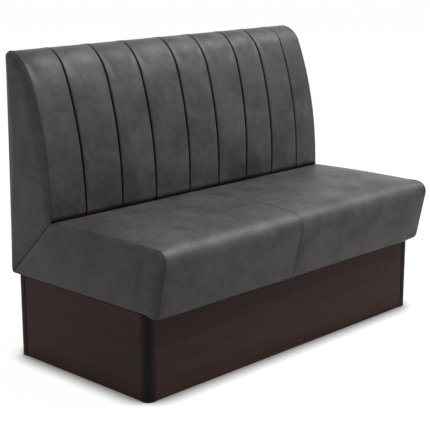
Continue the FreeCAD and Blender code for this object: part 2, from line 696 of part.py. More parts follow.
def quilt_section(x, inset):
    """A closed section of the channelled cover, filled in as far as its lining."""
    outer = back_curve(x, inset)
    turn, flap = rear_turn(x, inset)
    lining_foot = at(x, face_foot("quilt_thickness"))
    lining_end = Vector(x, value(rear_y(str(flap.z), REAR_LAYERS)), flap.z)
    return Part.Wire([
        Part.LineSegment(outer["foot"], outer["face"][0]).toShape(),
        Part.Arc(*outer["face"]).toShape(),
        Part.Arc(*outer["top"]).toShape(),
        Part.LineSegment(outer["top"][2], turn[0]).toShape(),
        Part.Arc(*turn).toShape(),
        Part.LineSegment(turn[2], flap).toShape(),
        Part.LineSegment(flap, lining_end).toShape(),
        Part.LineSegment(lining_end, lining_foot).toShape(),
        Part.LineSegment(lining_foot, outer["foot"]).toShape(),
    ])


def quilt_lining():
    """The space inside the channelled cover, from side to side."""
    x = -value(FRAME_HALF)
    inner = back_curve(x, value("quilt_thickness"))
    high = inner["top"][2].z
    low = value("bench_height - flap_drop")
    corner = Vector(x, value(rear_y(str(high), REAR_LAYERS)), high)
    end = Vector(x, value(rear_y(str(low), REAR_LAYERS)), low)
    section = Part.Wire([
        Part.LineSegment(inner["foot"], inner["face"][0]).toShape(),
        Part.Arc(*inner["face"]).toShape(),
        Part.Arc(*inner["top"]).toShape(),
        Part.LineSegment(inner["top"][2], corner).toShape(),
        Part.LineSegment(corner, end).toShape(),
        Part.LineSegment(end, inner["foot"]).toShape(),
    ])
    return Part.Face(section).extrude(Vector(-2 * x, 0, 0))


def back_side_section(x, inset, rear_inset):
    """A closed section of the back's side cover, from the mitre round over the top."""
    front = back_curve(x, inset)
    radius = value("rear_edge_radius")
    high = value("bench_height") - inset
    side = value(rear_y(str(high - radius), str(rear_inset)))
    slant = math.radians(45)
    centre_y = side - radius
    turn = [Vector(x, centre_y, high),
            Vector(x, centre_y + radius * math.sin(slant), high - radius + radius * math.cos(slant)),
            Vector(x, side, high - radius)]
    foot_z = value("plinth_height") + rear_inset
    foot = Vector(x, value(mitre_y(str(foot_z))), foot_z)
    heel_z = foot_z + value("edge_rounding")
    heel = Vector(x, value(rear_y(str(heel_z), str(rear_inset))), heel_z)
    edges = [
        Part.LineSegment(front["foot"], front["face"][0]).toShape(),
        Part.Arc(*front["face"]).toShape(),
        Part.Arc(*front["top"]).toShape(),
        Part.LineSegment(front["top"][2], turn[0]).toShape(),
        Part.Arc(*turn).toShape(),
        Part.LineSegment(turn[2], heel).toShape(),
        Part.LineSegment(heel, foot).toShape(),
        Part.LineSegment(foot, front["foot"]).toShape(),
    ]
    return Part.Wire(edges)


def make_back_soft():
    """The channelled cover, its side covers, and the covered rear panel."""
    reach = value(FRAME_HALF)
    mean = 2 * reach / len(CHANNEL_SHARES)
    shoulder = value("shoulder_width")
    rounding = value("shoulder_depth")
    seam_depth = value("channel_depth")
    edge_depth = value("edge_inset")
    start = -reach
    channels = []
    for number, share in enumerate(CHANNEL_SHARES):
        width = mean * share
        stop = start + width
        left = edge_depth if number == 0 else seam_depth
        right = edge_depth if number == len(CHANNEL_SHARES) - 1 else seam_depth
        rows = [(start, left), (start + shoulder, rounding), ((start + stop) / 2, 0),
                (stop - shoulder, rounding), (stop, right)]
        channels.append(Part.makeLoft([quilt_section(*row) for row in rows], True, True))
        start = stop
    cover = channels[0].multiFuse(channels[1:]).removeSplitter()
    group("back_cover", [cover.cut(quilt_lining())])
    for name, sign in (("left", -1), ("right", 1)):
        rows = [(place_x, inset, inset - edge_depth) for place_x, inset in edge_stations(sign)]
        sections = [back_side_section(*row) for row in rows]
        group("back_side_cover_" + name, [Part.makeLoft(sections, True, True)])

    low = f"({mitre_z('(bench_depth/2 - tip_width)')})"
    high = "(bench_height - flap_drop - soft_gap)"
    layers = (("back_rear_board", "rear_skin", REAR_LAYERS), ("back_rear_cover", "0", "rear_skin"))
    for label, near, far in layers:
        sheet_outline = [(rear_y(low, near), low), (rear_y(high, near), high),
                         (rear_y(high, far), high), (rear_y(low, far), low)]
        board(label, sheet_outline, "2*" + FRAME_HALF)


# Fasteners
def make_battens():
    """The two battens that meet on the mitre, and the bolts and nuts that draw them together."""
    inside = f"2*({FRAME_HALF} - side_board)"
    middle = f"({BATTEN_START} + batten_width/2)"
    reach = "(batten_thickness + bolt_nut + bolt_spare)"
    bolts = []
    nuts = []
    holes = []
    angle = 90 - value(MITRE)
    for step in (-1, 0, 1):
        x = value(f"{step}*bolt_spacing")
        head_y, head_z = off_mitre(middle, "-batten_thickness - bolt_head")
        low = Vector(x, value(head_y), value(head_z))
        axis_y, axis_z = off_mitre(middle, reach)
        axis = (Vector(x, value(axis_y), value(axis_z)) - low).normalize()
        head = value("bolt_head")
        spin = Rotation(Vector(0, 0, 1), axis)
        hexagon = hex_prism(value("bolt_head_radius"), head, low, spin)
        shank = Part.makeCylinder(value("bolt_radius"), value("2*batten_thickness + bolt_nut + bolt_spare"),
                                  low + axis * head, axis)
        bolts.append(hexagon.fuse(shank).removeSplitter())
        nut_foot = low + axis * (head + value("2*batten_thickness"))
        nut = hex_prism(value("bolt_head_radius"), value("bolt_nut"), nut_foot, spin)
        bore = Part.makeCylinder(value("bolt_radius + bolt_gap"), value("bolt_nut"), nut_foot, axis)
        nuts.append(nut.cut(bore))
        length = value("2*batten_thickness + 2*bolt_head")
        holes.append(Part.makeCylinder(value("bolt_radius + bolt_gap"), length, low, axis))
    group("joining_bolts", bolts)
    group("joining_nuts", nuts)
    sides = (("seat_mitre_batten", "(-batten_thickness)"), ("back_mitre_batten", "batten_thickness"))
    for label, away in sides:
        corners = [off_mitre(BATTEN_START, "0"), off_mitre(BATTEN_END, "0"),
                   off_mitre(BATTEN_END, away), off_mitre(BATTEN_START, away)]
        blank = board(label + "_blank", corners, inside)
        nodes.remove(blank)
        drill = doc.addObject("Part::Feature", label + "_holes")
        drill.Shape = Part.makeCompound(holes)
        drilled = doc.addObject("Part::Cut", label)
        drilled.Base = blank
        drilled.Tool = drill
        keep(label, drilled)


def hex_prism(radius, height, foot, spin):
    """A six-sided prism standing on a point along an axis."""
    turns = [math.tau * number / 6 for number in range(7)]
    corners = [Vector(radius * math.cos(turn), radius * math.sin(turn), 0) for turn in turns]
    prism = Part.Face(Part.makePolygon(corners)).extrude(Vector(0, 0, height))
    prism.Placement = Placement(foot, spin)
    return prism


def make_screws():
    """Long hexagon-head screws, driven up through the bearers into the seat's middle rails."""
    low = value("plinth_height - bearer_height")
    front = value(f"{PANEL_INNER} + screw_setback")
    rear = value(f"{mitre_y(FRAME_TOP)} - web_rail_gap - web_rail - screw_setback")
    screws = []
    for side in (-1, 1):
        across = side * value("bearer_spacing/2")
        for along in (front, rear):
            foot = Vector(across, along, low)
            shank = Part.makeCylinder(value("screw_radius"), value("screw_length"), foot)
            head_foot = foot - Vector(0, 0, value("screw_head"))
            head = hex_prism(value("screw_head_radius"), value("screw_head"), head_foot, Rotation())
            screws.append(shank.fuse(head).removeSplitter())
    group("fixing_screws", screws)


make_plinth()
inserts = []
for corner, x_sign, y_sign in (("front_left", "-", "+"), ("front_right", "+", "+"),
                               ("rear_left", "-", "-"), ("rear_right", "+", "-")):
    foot_x, foot_y = make_corner(corner, x_sign, y_sign)
    make_foot(corner, foot_x, foot_y)
    inserts.append(insert_shape(foot_x, foot_y))
group("foot_inserts", inserts)
make_seat_frame()
make_webbing()
make_seat_soft()
make_back_frame()
make_back_foam()
make_back_soft()
make_battens()
make_screws()
doc.recompute()

for thing in doc.Objects:
    if "Invalid" in thing.State or "Error" in thing.State:
        raise RuntimeError("%s failed: %s" % (thing.Label, thing.State))
for node in nodes:
    if node.Shape.isNull() or not node.Shape.isValid():
        raise RuntimeError("%s has no valid shape" % node.Label)
    if node.Shape.Volume <= 0:
        raise RuntimeError("%s holds no volume" % node.Label)
os.makedirs("parts", exist_ok=True)
for node in nodes:
    node.Shape.exportStep("parts/%s.step" % node.Label)
    print("%-26s %2d solid %10.0f mm3" % (node.Label, len(node.Shape.Solids), node.Shape.Volume))
print(len(nodes), "nodes")
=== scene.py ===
# %% [markdown]
# # A channel-backed booth bench
# A booth bench is a timber frame on a plinth, with webbing and foam on it and a sewn cover over all.
# The frame is already built, and its boards, battens and feet are used as they are. This lesson
# gives it covers, foam, straps, stitching, finishes and light. Every length is in metres.

# %% Open the frame
import json
import math

import bmesh
import bpy
import numpy as np
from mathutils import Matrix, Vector


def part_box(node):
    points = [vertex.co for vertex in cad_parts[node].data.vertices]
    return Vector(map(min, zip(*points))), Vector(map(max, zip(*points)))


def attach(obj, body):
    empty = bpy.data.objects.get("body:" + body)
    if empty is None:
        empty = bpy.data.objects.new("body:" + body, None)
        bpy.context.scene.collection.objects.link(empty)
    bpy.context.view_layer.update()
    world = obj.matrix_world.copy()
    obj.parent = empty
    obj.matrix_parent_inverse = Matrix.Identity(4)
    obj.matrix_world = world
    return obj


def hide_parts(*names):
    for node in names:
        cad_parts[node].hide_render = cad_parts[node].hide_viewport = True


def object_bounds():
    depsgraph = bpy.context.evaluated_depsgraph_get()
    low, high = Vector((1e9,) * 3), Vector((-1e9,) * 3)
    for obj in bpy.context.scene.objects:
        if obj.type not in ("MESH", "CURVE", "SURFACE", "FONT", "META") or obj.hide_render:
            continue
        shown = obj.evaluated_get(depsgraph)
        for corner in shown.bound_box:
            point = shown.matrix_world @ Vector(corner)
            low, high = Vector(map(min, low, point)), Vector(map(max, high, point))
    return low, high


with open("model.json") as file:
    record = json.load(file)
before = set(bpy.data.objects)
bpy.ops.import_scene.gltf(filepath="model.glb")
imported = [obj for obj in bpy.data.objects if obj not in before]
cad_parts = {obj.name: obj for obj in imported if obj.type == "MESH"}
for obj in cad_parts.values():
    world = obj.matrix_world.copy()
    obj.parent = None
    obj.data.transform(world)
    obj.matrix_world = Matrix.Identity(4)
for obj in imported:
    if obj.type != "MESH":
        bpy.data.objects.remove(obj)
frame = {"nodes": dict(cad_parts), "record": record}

cad_low, cad_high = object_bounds()
print("frame box", [round(v, 4) for v in cad_low], [round(v, 4) for v in cad_high])

# %% [markdown]
# ## Sizes
# The covers lie on the frame, so most of their places are read from it and follow when it changes.
# What the frame doesn't say, such as the round of the nose, is written here once, as an upholsterer
# would note it on the pattern. Numbers typed where they are used would be quicker to write, but the
# same round is needed by the seat, its end panels and its foam.

# %% Sizes of the covers
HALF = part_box("back_face_board")[1].x
SIDE = cad_high.x
REAR = cad_high.y
FRONT = cad_low.y
TOP = cad_high.z
PLINTH_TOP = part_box("plinth_front_panel")[1].z
RAIL_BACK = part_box("seat_front_rail")[1].y
RAIL_LAP = 0.004
FACE_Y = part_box("back_cover")[0].y
SEAT_TOP = 0.478
CORNER_Z = 0.474
SEAT_LEAN = math.radians(11.5)
NOSE_RADIUS = 0.034
NOSE_FULL = 0.016
HEM_RADIUS = 0.012
HEM_END_RADIUS = 0.027
HEM_END_REACH = 0.075
HEM_DROP = 0.010
HEM_GAP = 0.004
PLINTH_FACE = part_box("corner_post_front_left")[0].y - HEM_GAP
SEAT_LIFT = 0.005
EDGE_CROWN = 0.0015
SEAT_CROWN = 0.006
CREST_SHARE = 0.4
FULL_CURVE = {"knee_lean": 23, "knee_z": 0.9383, "crest_lean": 23, "crest_radius": 0.088}
SEAM_CURVE = {"knee_lean": 20.5, "knee_z": 0.8905, "crest_lean": 62, "crest_radius": 0.060}
REAR_EDGE = 0.017
REAR_FULL = 0.005
RAKE = 0.010
FLAP_DROP = 0.037
QUARTER = math.pi / 2
MITRE = math.atan2(CORNER_Z - PLINTH_TOP, REAR - FACE_Y)
print("seat joins the back at", round(math.degrees(MITRE), 2), "degrees")


# %% [markdown]
# ## Lines of the side view
# Seen from its end, the bench is two sewn outlines: the seat's, from the hem round the nose to the
# joint, and the back's, from the joint over the top to the rear. They could be drawn as curves and
# lofted. Here straight and round stretches are joined end to end, each with a fixed number of
# points, so that every section across the bench has the same points and neighbouring sections can
# be sewn into a grid.

# %% Straight and round stretches
def line(start, stop, count):
    """Points from start towards stop, without the last."""
    return [tuple(a + (b - a) * k / count for a, b in zip(start, stop)) for k in range(count)]


def arc(centre, radius, start, stop, count):
    """Points round a centre from one angle towards another, without the last."""
    turns = [start + (stop - start) * k / count for k in range(count)]
    return [(centre[0] + radius * math.cos(t), centre[1] + radius * math.sin(t)) for t in turns]


# %% Slopes of the rear and of the joint
NOSE_Y = FRONT + NOSE_RADIUS + SEAT_LIFT * math.tan(SEAT_LEAN)
NOSE_Z = SEAT_TOP - NOSE_RADIUS
print("the nose turns about", round(NOSE_Y, 4), round(NOSE_Z, 4))


def rear_y(z):
    """The rear face leans forward a little as it rises."""
    return REAR + REAR_FULL - RAKE * (z - PLINTH_TOP) / (TOP - PLINTH_TOP)


def mitre_y(z):
    """Where the sloping joint between seat and back passes a height."""
    return REAR - (z - PLINTH_TOP) / math.tan(MITRE)


# %% Side view of the seat
NEAR_JOINT_SHARES = [0.972, 0.979, 0.985, 0.990, 0.994, 0.9975, 1]
TOP_SHARES = np.concatenate([np.linspace(0, 0.965, 54), NEAR_JOINT_SHARES])


def hem_size(offset):
    """The hem's radius at a distance from the bench's end, where its corner is fuller."""
    near = max(0, 1 - offset / HEM_END_REACH)
    return HEM_RADIUS + (HEM_END_RADIUS - HEM_RADIUS) * near ** 2


def hem_centre(radius):
    """The middle of the hem's round, which hangs a little in front of the plinth's top."""
    rise = PLINTH_TOP - HEM_DROP + radius
    lead = (NOSE_Z - rise) * math.tan(SEAT_LEAN)
    return NOSE_Y - (NOSE_RADIUS - radius) / math.cos(SEAT_LEAN) + lead, rise


def seat_line(inset, fullness, hem_radius=HEM_RADIUS):
    """Side view of the seat's cover: lap under the rail, hem, front, nose, top, end on the joint."""
    lift = SEAT_LIFT * fullness
    fuller = NOSE_FULL * fullness
    setback = fuller * (1 + math.sin(SEAT_LEAN)) / math.cos(SEAT_LEAN)
    nose = (NOSE_Y - lift * math.tan(SEAT_LEAN) + setback, NOSE_Z + lift - fuller)
    reach = NOSE_RADIUS + fuller - inset
    hem_reach = hem_radius - inset
    hem = hem_centre(hem_radius)
    under = (hem[0], hem[1] - hem_reach)
    face = math.pi + SEAT_LEAN
    hem_top = (hem[0] + hem_reach * math.cos(face), hem[1] + hem_reach * math.sin(face))
    nose_low = (nose[0] + reach * math.cos(face), nose[1] + reach * math.sin(face))
    start = (nose[0], nose[1] + reach)
    end_z = CORNER_Z - inset
    end = (mitre_y(end_z), end_z)
    crown = EDGE_CROWN + SEAT_CROWN * fullness
    fall = end[1] - start[1]
    rise = (crown - CREST_SHARE ** 2 * fall) / (CREST_SHARE - CREST_SHARE ** 2)
    step = (PLINTH_FACE, PLINTH_TOP + inset)
    points = line((RAIL_BACK - RAIL_LAP, step[1]), step, 2) + line(step, under, 3)
    points += arc(hem, hem_reach, 3 * QUARTER, face, 6)
    points += line(hem_top, nose_low, 18)
    points += arc(nose, reach, face, QUARTER, 12)
    for share in TOP_SHARES:
        points.append((start[0] + (end[0] - start[0]) * share,
                       start[1] + rise * share + (fall - rise) * share ** 2))
    return points


# %% Dividing a line and stepping from arc to arc
FOOT_SHARES = [0, 0.003, 0.0065, 0.011, 0.017]
SHOULDER_SHARE = 0.72
REAR_INSET_SHARE = 0.4
FRONT_SHARES = np.concatenate([FOOT_SHARES, np.linspace(0.026, SHOULDER_SHARE, 40)[:-1],
                               np.linspace(SHOULDER_SHARE, 1, 26)])


def run_along(points):
    """How far along a line each of its points lies."""
    steps = np.linalg.norm(np.diff(points, axis=0), axis=1)
    return np.concatenate([[0], np.cumsum(steps)])


def evened(points, shares):
    """The line through some points, divided again at shares of its length."""
    points = np.array(points)
    run = run_along(points)
    marks = shares * run[-1]
    return [(np.interp(t, run, points[:, 0]), np.interp(t, run, points[:, 1])) for t in marks]


def step_hub(hub, radius, next_radius, angle):
    """The centre of the next arc, which carries on where this one stops at an angle."""
    step = radius - next_radius
    return hub[0] + step * math.cos(angle), hub[1] + step * math.sin(angle)


# %% Side view of the back
def back_line(inset, curve=FULL_CURVE):
    """Side view of the back's cover: foot on the joint, face, top, rear edge and the flap's end."""
    knee_lean, crest_lean = math.radians(curve["knee_lean"]), math.radians(curve["crest_lean"])
    crest_radius = curve["crest_radius"]
    face_radius = (curve["knee_z"] - SEAT_TOP) / math.sin(knee_lean)
    shoulder_rise = TOP - crest_radius * (1 - math.sin(crest_lean)) - curve["knee_z"]
    turn = math.sin(crest_lean) - math.sin(knee_lean)
    shoulder_radius = shoulder_rise / turn if turn > 0 else crest_radius
    face_y = FACE_Y + inset
    foot_z = PLINTH_TOP + (REAR - face_y) * math.tan(MITRE)
    hub = (FACE_Y + face_radius, SEAT_TOP)
    knee = math.pi - knee_lean
    crest = math.pi - crest_lean
    shoulder_hub = step_hub(hub, face_radius, shoulder_radius, knee)
    top_hub = step_hub(shoulder_hub, shoulder_radius, crest_radius, crest)
    shift = inset * REAR_INSET_SHARE
    edge = REAR_EDGE - shift
    high = TOP - inset
    edge_hub = (rear_y(TOP) - REAR_EDGE, high - edge)
    low = TOP - FLAP_DROP
    points = line((face_y, foot_z), (face_y, SEAT_TOP), 2)
    front = arc(hub, face_radius - inset, math.pi, knee, 60)
    front += arc(shoulder_hub, shoulder_radius - inset, knee, crest, 30)
    front += arc(top_hub, crest_radius - inset, crest, QUARTER, 20)
    front.append((top_hub[0], high))
    points += evened(front, FRONT_SHARES)[:-1]
    points += line((top_hub[0], high), (edge_hub[0], high), 2)
    points += arc(edge_hub, edge, QUARTER, 0, 5)
    points += line((edge_hub[0] + edge, edge_hub[1]), (rear_y(low) - shift, low), 3)
    return points + [(rear_y(low) - shift, low)]


print(len(seat_line(0, 0)), "points in the seat's line,", len(back_line(0)), "in the back's")


# %% [markdown]
# ## Grids that keep their rows
# A cover is one sheet of cloth. It could be sculpted, but then its points would lie anywhere. Here
# it is a grid: rows follow the side view, columns run across the bench. Keeping the grid makes it
# easy to pin its seams, to lay stitches along a column and to move its points with care.

# %% Grid helpers
def grid_mesh(name, grid, facing):
    """A piece from an array of rows and columns of points, its faces turned towards facing."""
    rows, columns = grid.shape[:2]
    faces = []
    for i in range(rows - 1):
        for j in range(columns - 1):
            a = i * columns + j
            faces.append((a, a + 1, a + columns + 1, a + columns))
    mesh = bpy.data.meshes.new(name)
    mesh.from_pydata(grid.reshape(-1, 3).tolist(), [], faces)
    mesh.update()
    total = sum((f.normal * f.area for f in mesh.polygons), Vector())
    if total.dot(Vector(facing)) < 0:
        mesh.flip_normals()
    mesh.polygons.foreach_set("use_smooth", [True] * len(faces))
    piece = bpy.data.objects.new(name, mesh)
    bpy.context.scene.collection.objects.link(piece)
    return piece


def stations(length, near, count):
    """Places along a length: close together at both ends, then evenly spaced."""
    middle = np.linspace(near[-1], length - near[-1], count + 1)[1:-1]
    return np.concatenate([near, middle, length - np.array(near[::-1])])


def tuck(distance, depth, width):
    """How far cloth sinks near a seam: deep at the thread, level beyond the rounded shoulder."""
    share = np.clip(1 - distance / width, 0, 1)
    return depth * (1 - np.sqrt(1 - share ** 2))


# %% [markdown]
# ## Swelling the covers
# Upholstery is cloth over foam, held down at its seams. A bulge worked out by a formula looks blown
# up, because real cloth is tight across a seam and slacker beside it. So the seams are pinned, a
# little pressure swells the cloth between them in a simulation, and the result is kept within a few
# millimetres of the pattern.

# %% Cloth under pressure
SWELL_FRAMES = 20
CALM_PASSES = 30
PRESSURE = 4.0


def calmed(shift, held, freedom):
    """The cloth's movement without small wrinkles: averaged with its neighbours, none where held."""
    for _ in range(CALM_PASSES):
        padded = np.pad(shift, ((1, 1), (0, 0), (0, 0)), mode="edge")
        shift = (padded[:-2] + 2 * shift + padded[2:]) / 4
        shift[held] = 0
    return shift * freedom[:, None, None]


# %% A blank for the cloth
def closed_blank(name, grid, facing):
    """The grid as a piece whose open border is closed by one wide face, as pressure needs it."""
    rows, columns = grid.shape[:2]
    piece = grid_mesh(name + "_blank", grid, facing)
    work = bmesh.new()
    work.from_mesh(piece.data)
    work.verts.ensure_lookup_table()
    top = list(range(columns))
    right = [i * columns + columns - 1 for i in range(1, rows)]
    bottom = [(rows - 1) * columns + k for k in range(columns - 2, -1, -1)]
    left = [i * columns for i in range(rows - 2, 0, -1)]
    rim = top + right + bottom + left
    work.faces.new([work.verts[k] for k in rim])
    bmesh.ops.recalc_face_normals(work, faces=work.faces)
    work.to_mesh(piece.data)
    work.free()
    total = sum((f.normal * f.area for f in piece.data.polygons if len(f.vertices) == 4), Vector())
    if total.dot(Vector(facing)) < 0:
        piece.data.flip_normals()
    return piece


def pin_and_press(piece, held):
    """Cloth under pressure, pinned where held says so."""
    group = piece.vertex_groups.new(name="held")
    group.add([int(k) for k in np.flatnonzero(held.ravel())], 1.0, "REPLACE")
    cloth = piece.modifiers.new("cloth", "CLOTH")
    cloth.settings.quality = 2
    cloth.settings.use_pressure = True
    cloth.settings.uniform_pressure_force = PRESSURE
    cloth.settings.vertex_group_mass = "held"
    cloth.settings.tension_stiffness = 25
    cloth.settings.compression_stiffness = 25
    cloth.settings.bending_stiffness = 2
    cloth.settings.effector_weights.gravity = 0
    cloth.point_cache.frame_end = SWELL_FRAMES


# %% Swelling and dressing a cover
def swell(name, grid, held, cap, facing, freedom=None):
    """The grid after the cloth has swelled; held marks the points that don't move."""
    piece = closed_blank(name, grid, facing)
    pin_and_press(piece, held)
    scene = bpy.context.scene
    for step in range(1, SWELL_FRAMES + 1):
        scene.frame_set(step)
    result = piece.evaluated_get(bpy.context.evaluated_depsgraph_get())
    moved = np.array([v.co for v in result.data.vertices]).reshape(grid.shape)
    bpy.data.objects.remove(piece)
    scene.frame_set(1)
    shift = moved - grid
    size = np.maximum(np.linalg.norm(shift, axis=2, keepdims=True), 1e-9)
    kept = shift / size * cap * np.tanh(size / cap)
    kept = calmed(kept, held, np.ones(len(grid)) if freedom is None else freedom)
    most = np.linalg.norm(kept, axis=2).max()
    print(f"{name}: swelled {1000 * size.max():.1f} mm, kept {1000 * most:.1f} mm")
    return grid + kept


def dress(piece, material, slot, *nodes, thickness=0.0, levels=1, fill=None):
    """Gives a piece its finish and its place in the bench."""
    piece.data.materials.append(material)
    if levels:
        smooth = piece.modifiers.new("smooth", "SUBSURF")
        smooth.levels = levels
        smooth.render_levels = levels
    if thickness:
        shell = piece.modifiers.new("shell", "SOLIDIFY")
        shell.thickness = thickness
        shell.offset = -1
    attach(piece, "bench")
    if nodes:
        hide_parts(*nodes)
    print(piece.name, len(piece.data.vertices), "points")


# %% [markdown]
# ## Node groups for the finishes
# Coated cloth, boards and straps share a few effects. They could be copied into each material, but
# as node groups with named inputs they are built once, so that a change to the grain is made in one
# place and shows everywhere.

# %% Helpers for nodes and groups
def add(tree, kind, inputs=None, **settings):
    """A node with its settings, its inputs filled by numbers or joined to sockets."""
    made = tree.nodes.new(kind)
    for key, what in settings.items():
        setattr(made, key, what)
    for key, what in (inputs or {}).items():
        if isinstance(what, bpy.types.NodeSocket):
            tree.links.new(what, made.inputs[key])
        else:
            made.inputs[key].default_value = what
    return made


def new_group(name, inputs, outputs):
    """An empty node group with float inputs and outputs of the given kinds."""
    tree = bpy.data.node_groups.new(name, "ShaderNodeTree")
    for label, default in inputs.items():
        socket = tree.interface.new_socket(label, in_out="INPUT", socket_type="NodeSocketFloat")
        socket.default_value = default
    for label, kind in outputs.items():
        tree.interface.new_socket(label, in_out="OUTPUT", socket_type=kind)
    entry = tree.nodes.new("NodeGroupInput")
    leave = tree.nodes.new("NodeGroupOutput")
    return tree, entry, leave


# %% Helpers for values, noises and places
def math_node(tree, operation, first, second):
    """One sum on two values."""
    return add(tree, "ShaderNodeMath", {0: first, 1: second}, operation=operation).outputs[0]


def blended_values(tree, first, first_share, second, second_share):
    """Two values added up, each by its share."""
    scaled = math_node(tree, "MULTIPLY", first, first_share)
    return math_node(tree, "ADD", scaled, math_node(tree, "MULTIPLY", second, second_share))


def ranged(tree, value, low, high, start=0.0, stop=1.0):
    """A value that runs from start to stop, moved to lie between low and high."""
    return add(tree, "ShaderNodeMapRange", {"Value": value, "From Min": start, "From Max": stop,
                                            "To Min": low, "To Max": high}).outputs[0]


def occlusion(tree, reach, samples=16):
    """How open the surroundings are within a reach: 1 in the open, less in a corner."""
    return add(tree, "ShaderNodeAmbientOcclusion", {"Distance": reach}, samples=samples).outputs["AO"]


def noise(tree, vector, scale, detail=3.0, roughness=0.5, distortion=0.0):
    """A noise over the surface."""
    return add(tree, "ShaderNodeTexNoise", {"Vector": vector, "Scale": scale, "Detail": detail,
                                            "Roughness": roughness, "Distortion": distortion}).outputs[0]


def place_of(tree, stretch=(1, 1, 1)):
    """The point on the bench, stretched."""
    coordinates = add(tree, "ShaderNodeTexCoord").outputs["Object"]
    return add(tree, "ShaderNodeMapping", {"Vector": coordinates, "Scale": stretch}).outputs[0]


# %% [markdown]
# ### Patches and pebbles
# Coated cloth is never one even tone. It has patches as wide as a hand with finer ones in them, and
# a skin of small pebbles that takes off the shine. Two sizes of noise give the patches. Soft cells
# with a little noise between them give the pebbles, which only tilt the surface and stay too fine
# to be modelled.

# %% Clouding and pebble grain
NOISE_RANGE = (0.38, 0.62)


def make_clouding():
    """Soft patches, from a hand's width down to a thumb's."""
    tree, entry, leave = new_group("clouding", {"Scale": 9.0}, {"Value": "NodeSocketFloat"})
    place = place_of(tree)
    wide = noise(tree, place, entry.outputs["Scale"], 4, 0.6, 0.3)
    fine_scale = math_node(tree, "MULTIPLY", entry.outputs["Scale"], 4.3)
    fine = noise(tree, place, fine_scale, 5, 0.65, 0.2)
    both = blended_values(tree, wide, 0.62, fine, 0.38)
    tree.links.new(ranged(tree, both, 0, 1, *NOISE_RANGE), leave.inputs["Value"])
    return tree


def make_pebble():
    """The fine pebbled skin of coated cloth, as a height."""
    tree, entry, leave = new_group("pebble", {"Scale": 900.0}, {"Height": "NodeSocketFloat"})
    place = place_of(tree)
    cells = add(tree, "ShaderNodeTexVoronoi", {"Vector": place, "Scale": entry.outputs["Scale"]},
                feature="SMOOTH_F1").outputs["Distance"]
    pores = noise(tree, place, math_node(tree, "MULTIPLY", entry.outputs["Scale"], 0.45), 3, 0.6)
    tree.links.new(blended_values(tree, cells, 0.6, pores, 0.5), leave.inputs["Height"])
    return tree


# %% [markdown]
# ### Wear and painted shade in creases
# Edges rub pale, and folds and clefts are painted dark as shade. Both could be painted by hand. Here
# an edge is found where a rounded normal leaves the true one, and a fold where the surroundings are
# closed in, so both follow the shape wherever it goes.

# %% Worn edges and painted shade in creases
def make_edge_wear():
    """Where an edge stands out, as a mask broken up by noise."""
    tree, entry, leave = new_group("edge_wear", {"Amount": 0.5, "Width": 0.003},
                                   {"Mask": "NodeSocketFloat"})
    rounded = add(tree, "ShaderNodeBevel", {"Radius": entry.outputs["Width"]}, samples=4).outputs[0]
    flat = add(tree, "ShaderNodeNewGeometry").outputs["Normal"]
    likeness = add(tree, "ShaderNodeVectorMath", {0: rounded, 1: flat}, operation="DOT_PRODUCT")
    ridge = ranged(tree, likeness.outputs["Value"], 0, 1, 0.99, 0.75)
    patch = noise(tree, place_of(tree), 35, 4, 0.6)
    mask = math_node(tree, "MULTIPLY", math_node(tree, "MULTIPLY", ridge, patch), entry.outputs["Amount"])
    tree.links.new(mask, leave.inputs["Mask"])
    return tree


def make_crease_shade():
    """Painted shade deep in folds and clefts, as a mask."""
    tree, entry, leave = new_group("crease_shade", {"Reach": 0.012}, {"Mask": "NodeSocketFloat"})
    open_sky = occlusion(tree, entry.outputs["Reach"], samples=8)
    # the more closed in a spot is, the more painted shade it gets
    tree.links.new(ranged(tree, open_sky, 0, 1, 0.8, 0.45), leave.inputs["Mask"])
    return tree


# %% [markdown]
# ### Grain
# Wood-look laminate shows long fibres that run level round the plinth. Noise that is stretched far
# along one direction gives them. The two level directions are added up first, so the front and the
# ends of the plinth get fibres of the same length.

# %% Wood grain
def make_wood_grain():
    """Long fibres that run level round the plinth, as a value and a height."""
    tree, entry, leave = new_group("wood_grain", {"Along": 1.6, "Across": 75.0},
                                   {"Value": "NodeSocketFloat", "Height": "NodeSocketFloat"})
    place = add(tree, "ShaderNodeTexCoord").outputs["Object"]
    parts = add(tree, "ShaderNodeSeparateXYZ", {"Vector": place})
    along = math_node(tree, "ADD", parts.outputs["X"], parts.outputs["Y"])
    long_way = math_node(tree, "MULTIPLY", along, entry.outputs["Along"])
    short_way = math_node(tree, "MULTIPLY", parts.outputs["Z"], entry.outputs["Across"])
    stretched = add(tree, "ShaderNodeCombineXYZ", {"X": long_way, "Y": short_way, "Z": 0.0}).outputs[0]
    broad = noise(tree, stretched, 0.35, 4, 0.55, 0.6)
    fibre = noise(tree, stretched, 1.6, 5, 0.7, 0.15)
    value = blended_values(tree, broad, 0.6, fibre, 0.4)
    tree.links.new(ranged(tree, value, 0, 1, *NOISE_RANGE), leave.inputs["Value"])
    tree.links.new(fibre, leave.inputs["Height"])
    return tree


MAKERS = (make_clouding, make_pebble, make_edge_wear, make_crease_shade, make_wood_grain)
GROUPS = {tree.name: tree for tree in [make() for make in MAKERS]}
print("effects:", ", ".join(GROUPS))


# %% [markdown]
# ## Materials
# A colour is written as it looks in daylight and turned into the linear value that the renderer
# mixes with. All but the thread vary their colour and roughness, and carry their own fine relief,
# because one flat value over a whole piece looks like toy plastic.

# %% Material helpers
def linear(red, green, blue):
    """A colour given as 0 to 255, as the renderer needs it."""
    def curve(part):
        part /= 255
        return part / 12.92 if part <= 0.04045 else ((part + 0.055) / 1.055) ** 2.4
    return (curve(red), curve(green), curve(blue), 1.0)


def new_material(name, **sockets):
    """A material with its Principled shader, set on the shader's own sockets."""
    material = bpy.data.materials.new(name)
    material.use_nodes = True
    shader = material.node_tree.nodes["Principled BSDF"]
    for key, what in sockets.items():
        shader.inputs[key.replace("_", " ")].default_value = what
    return material, material.node_tree, shader


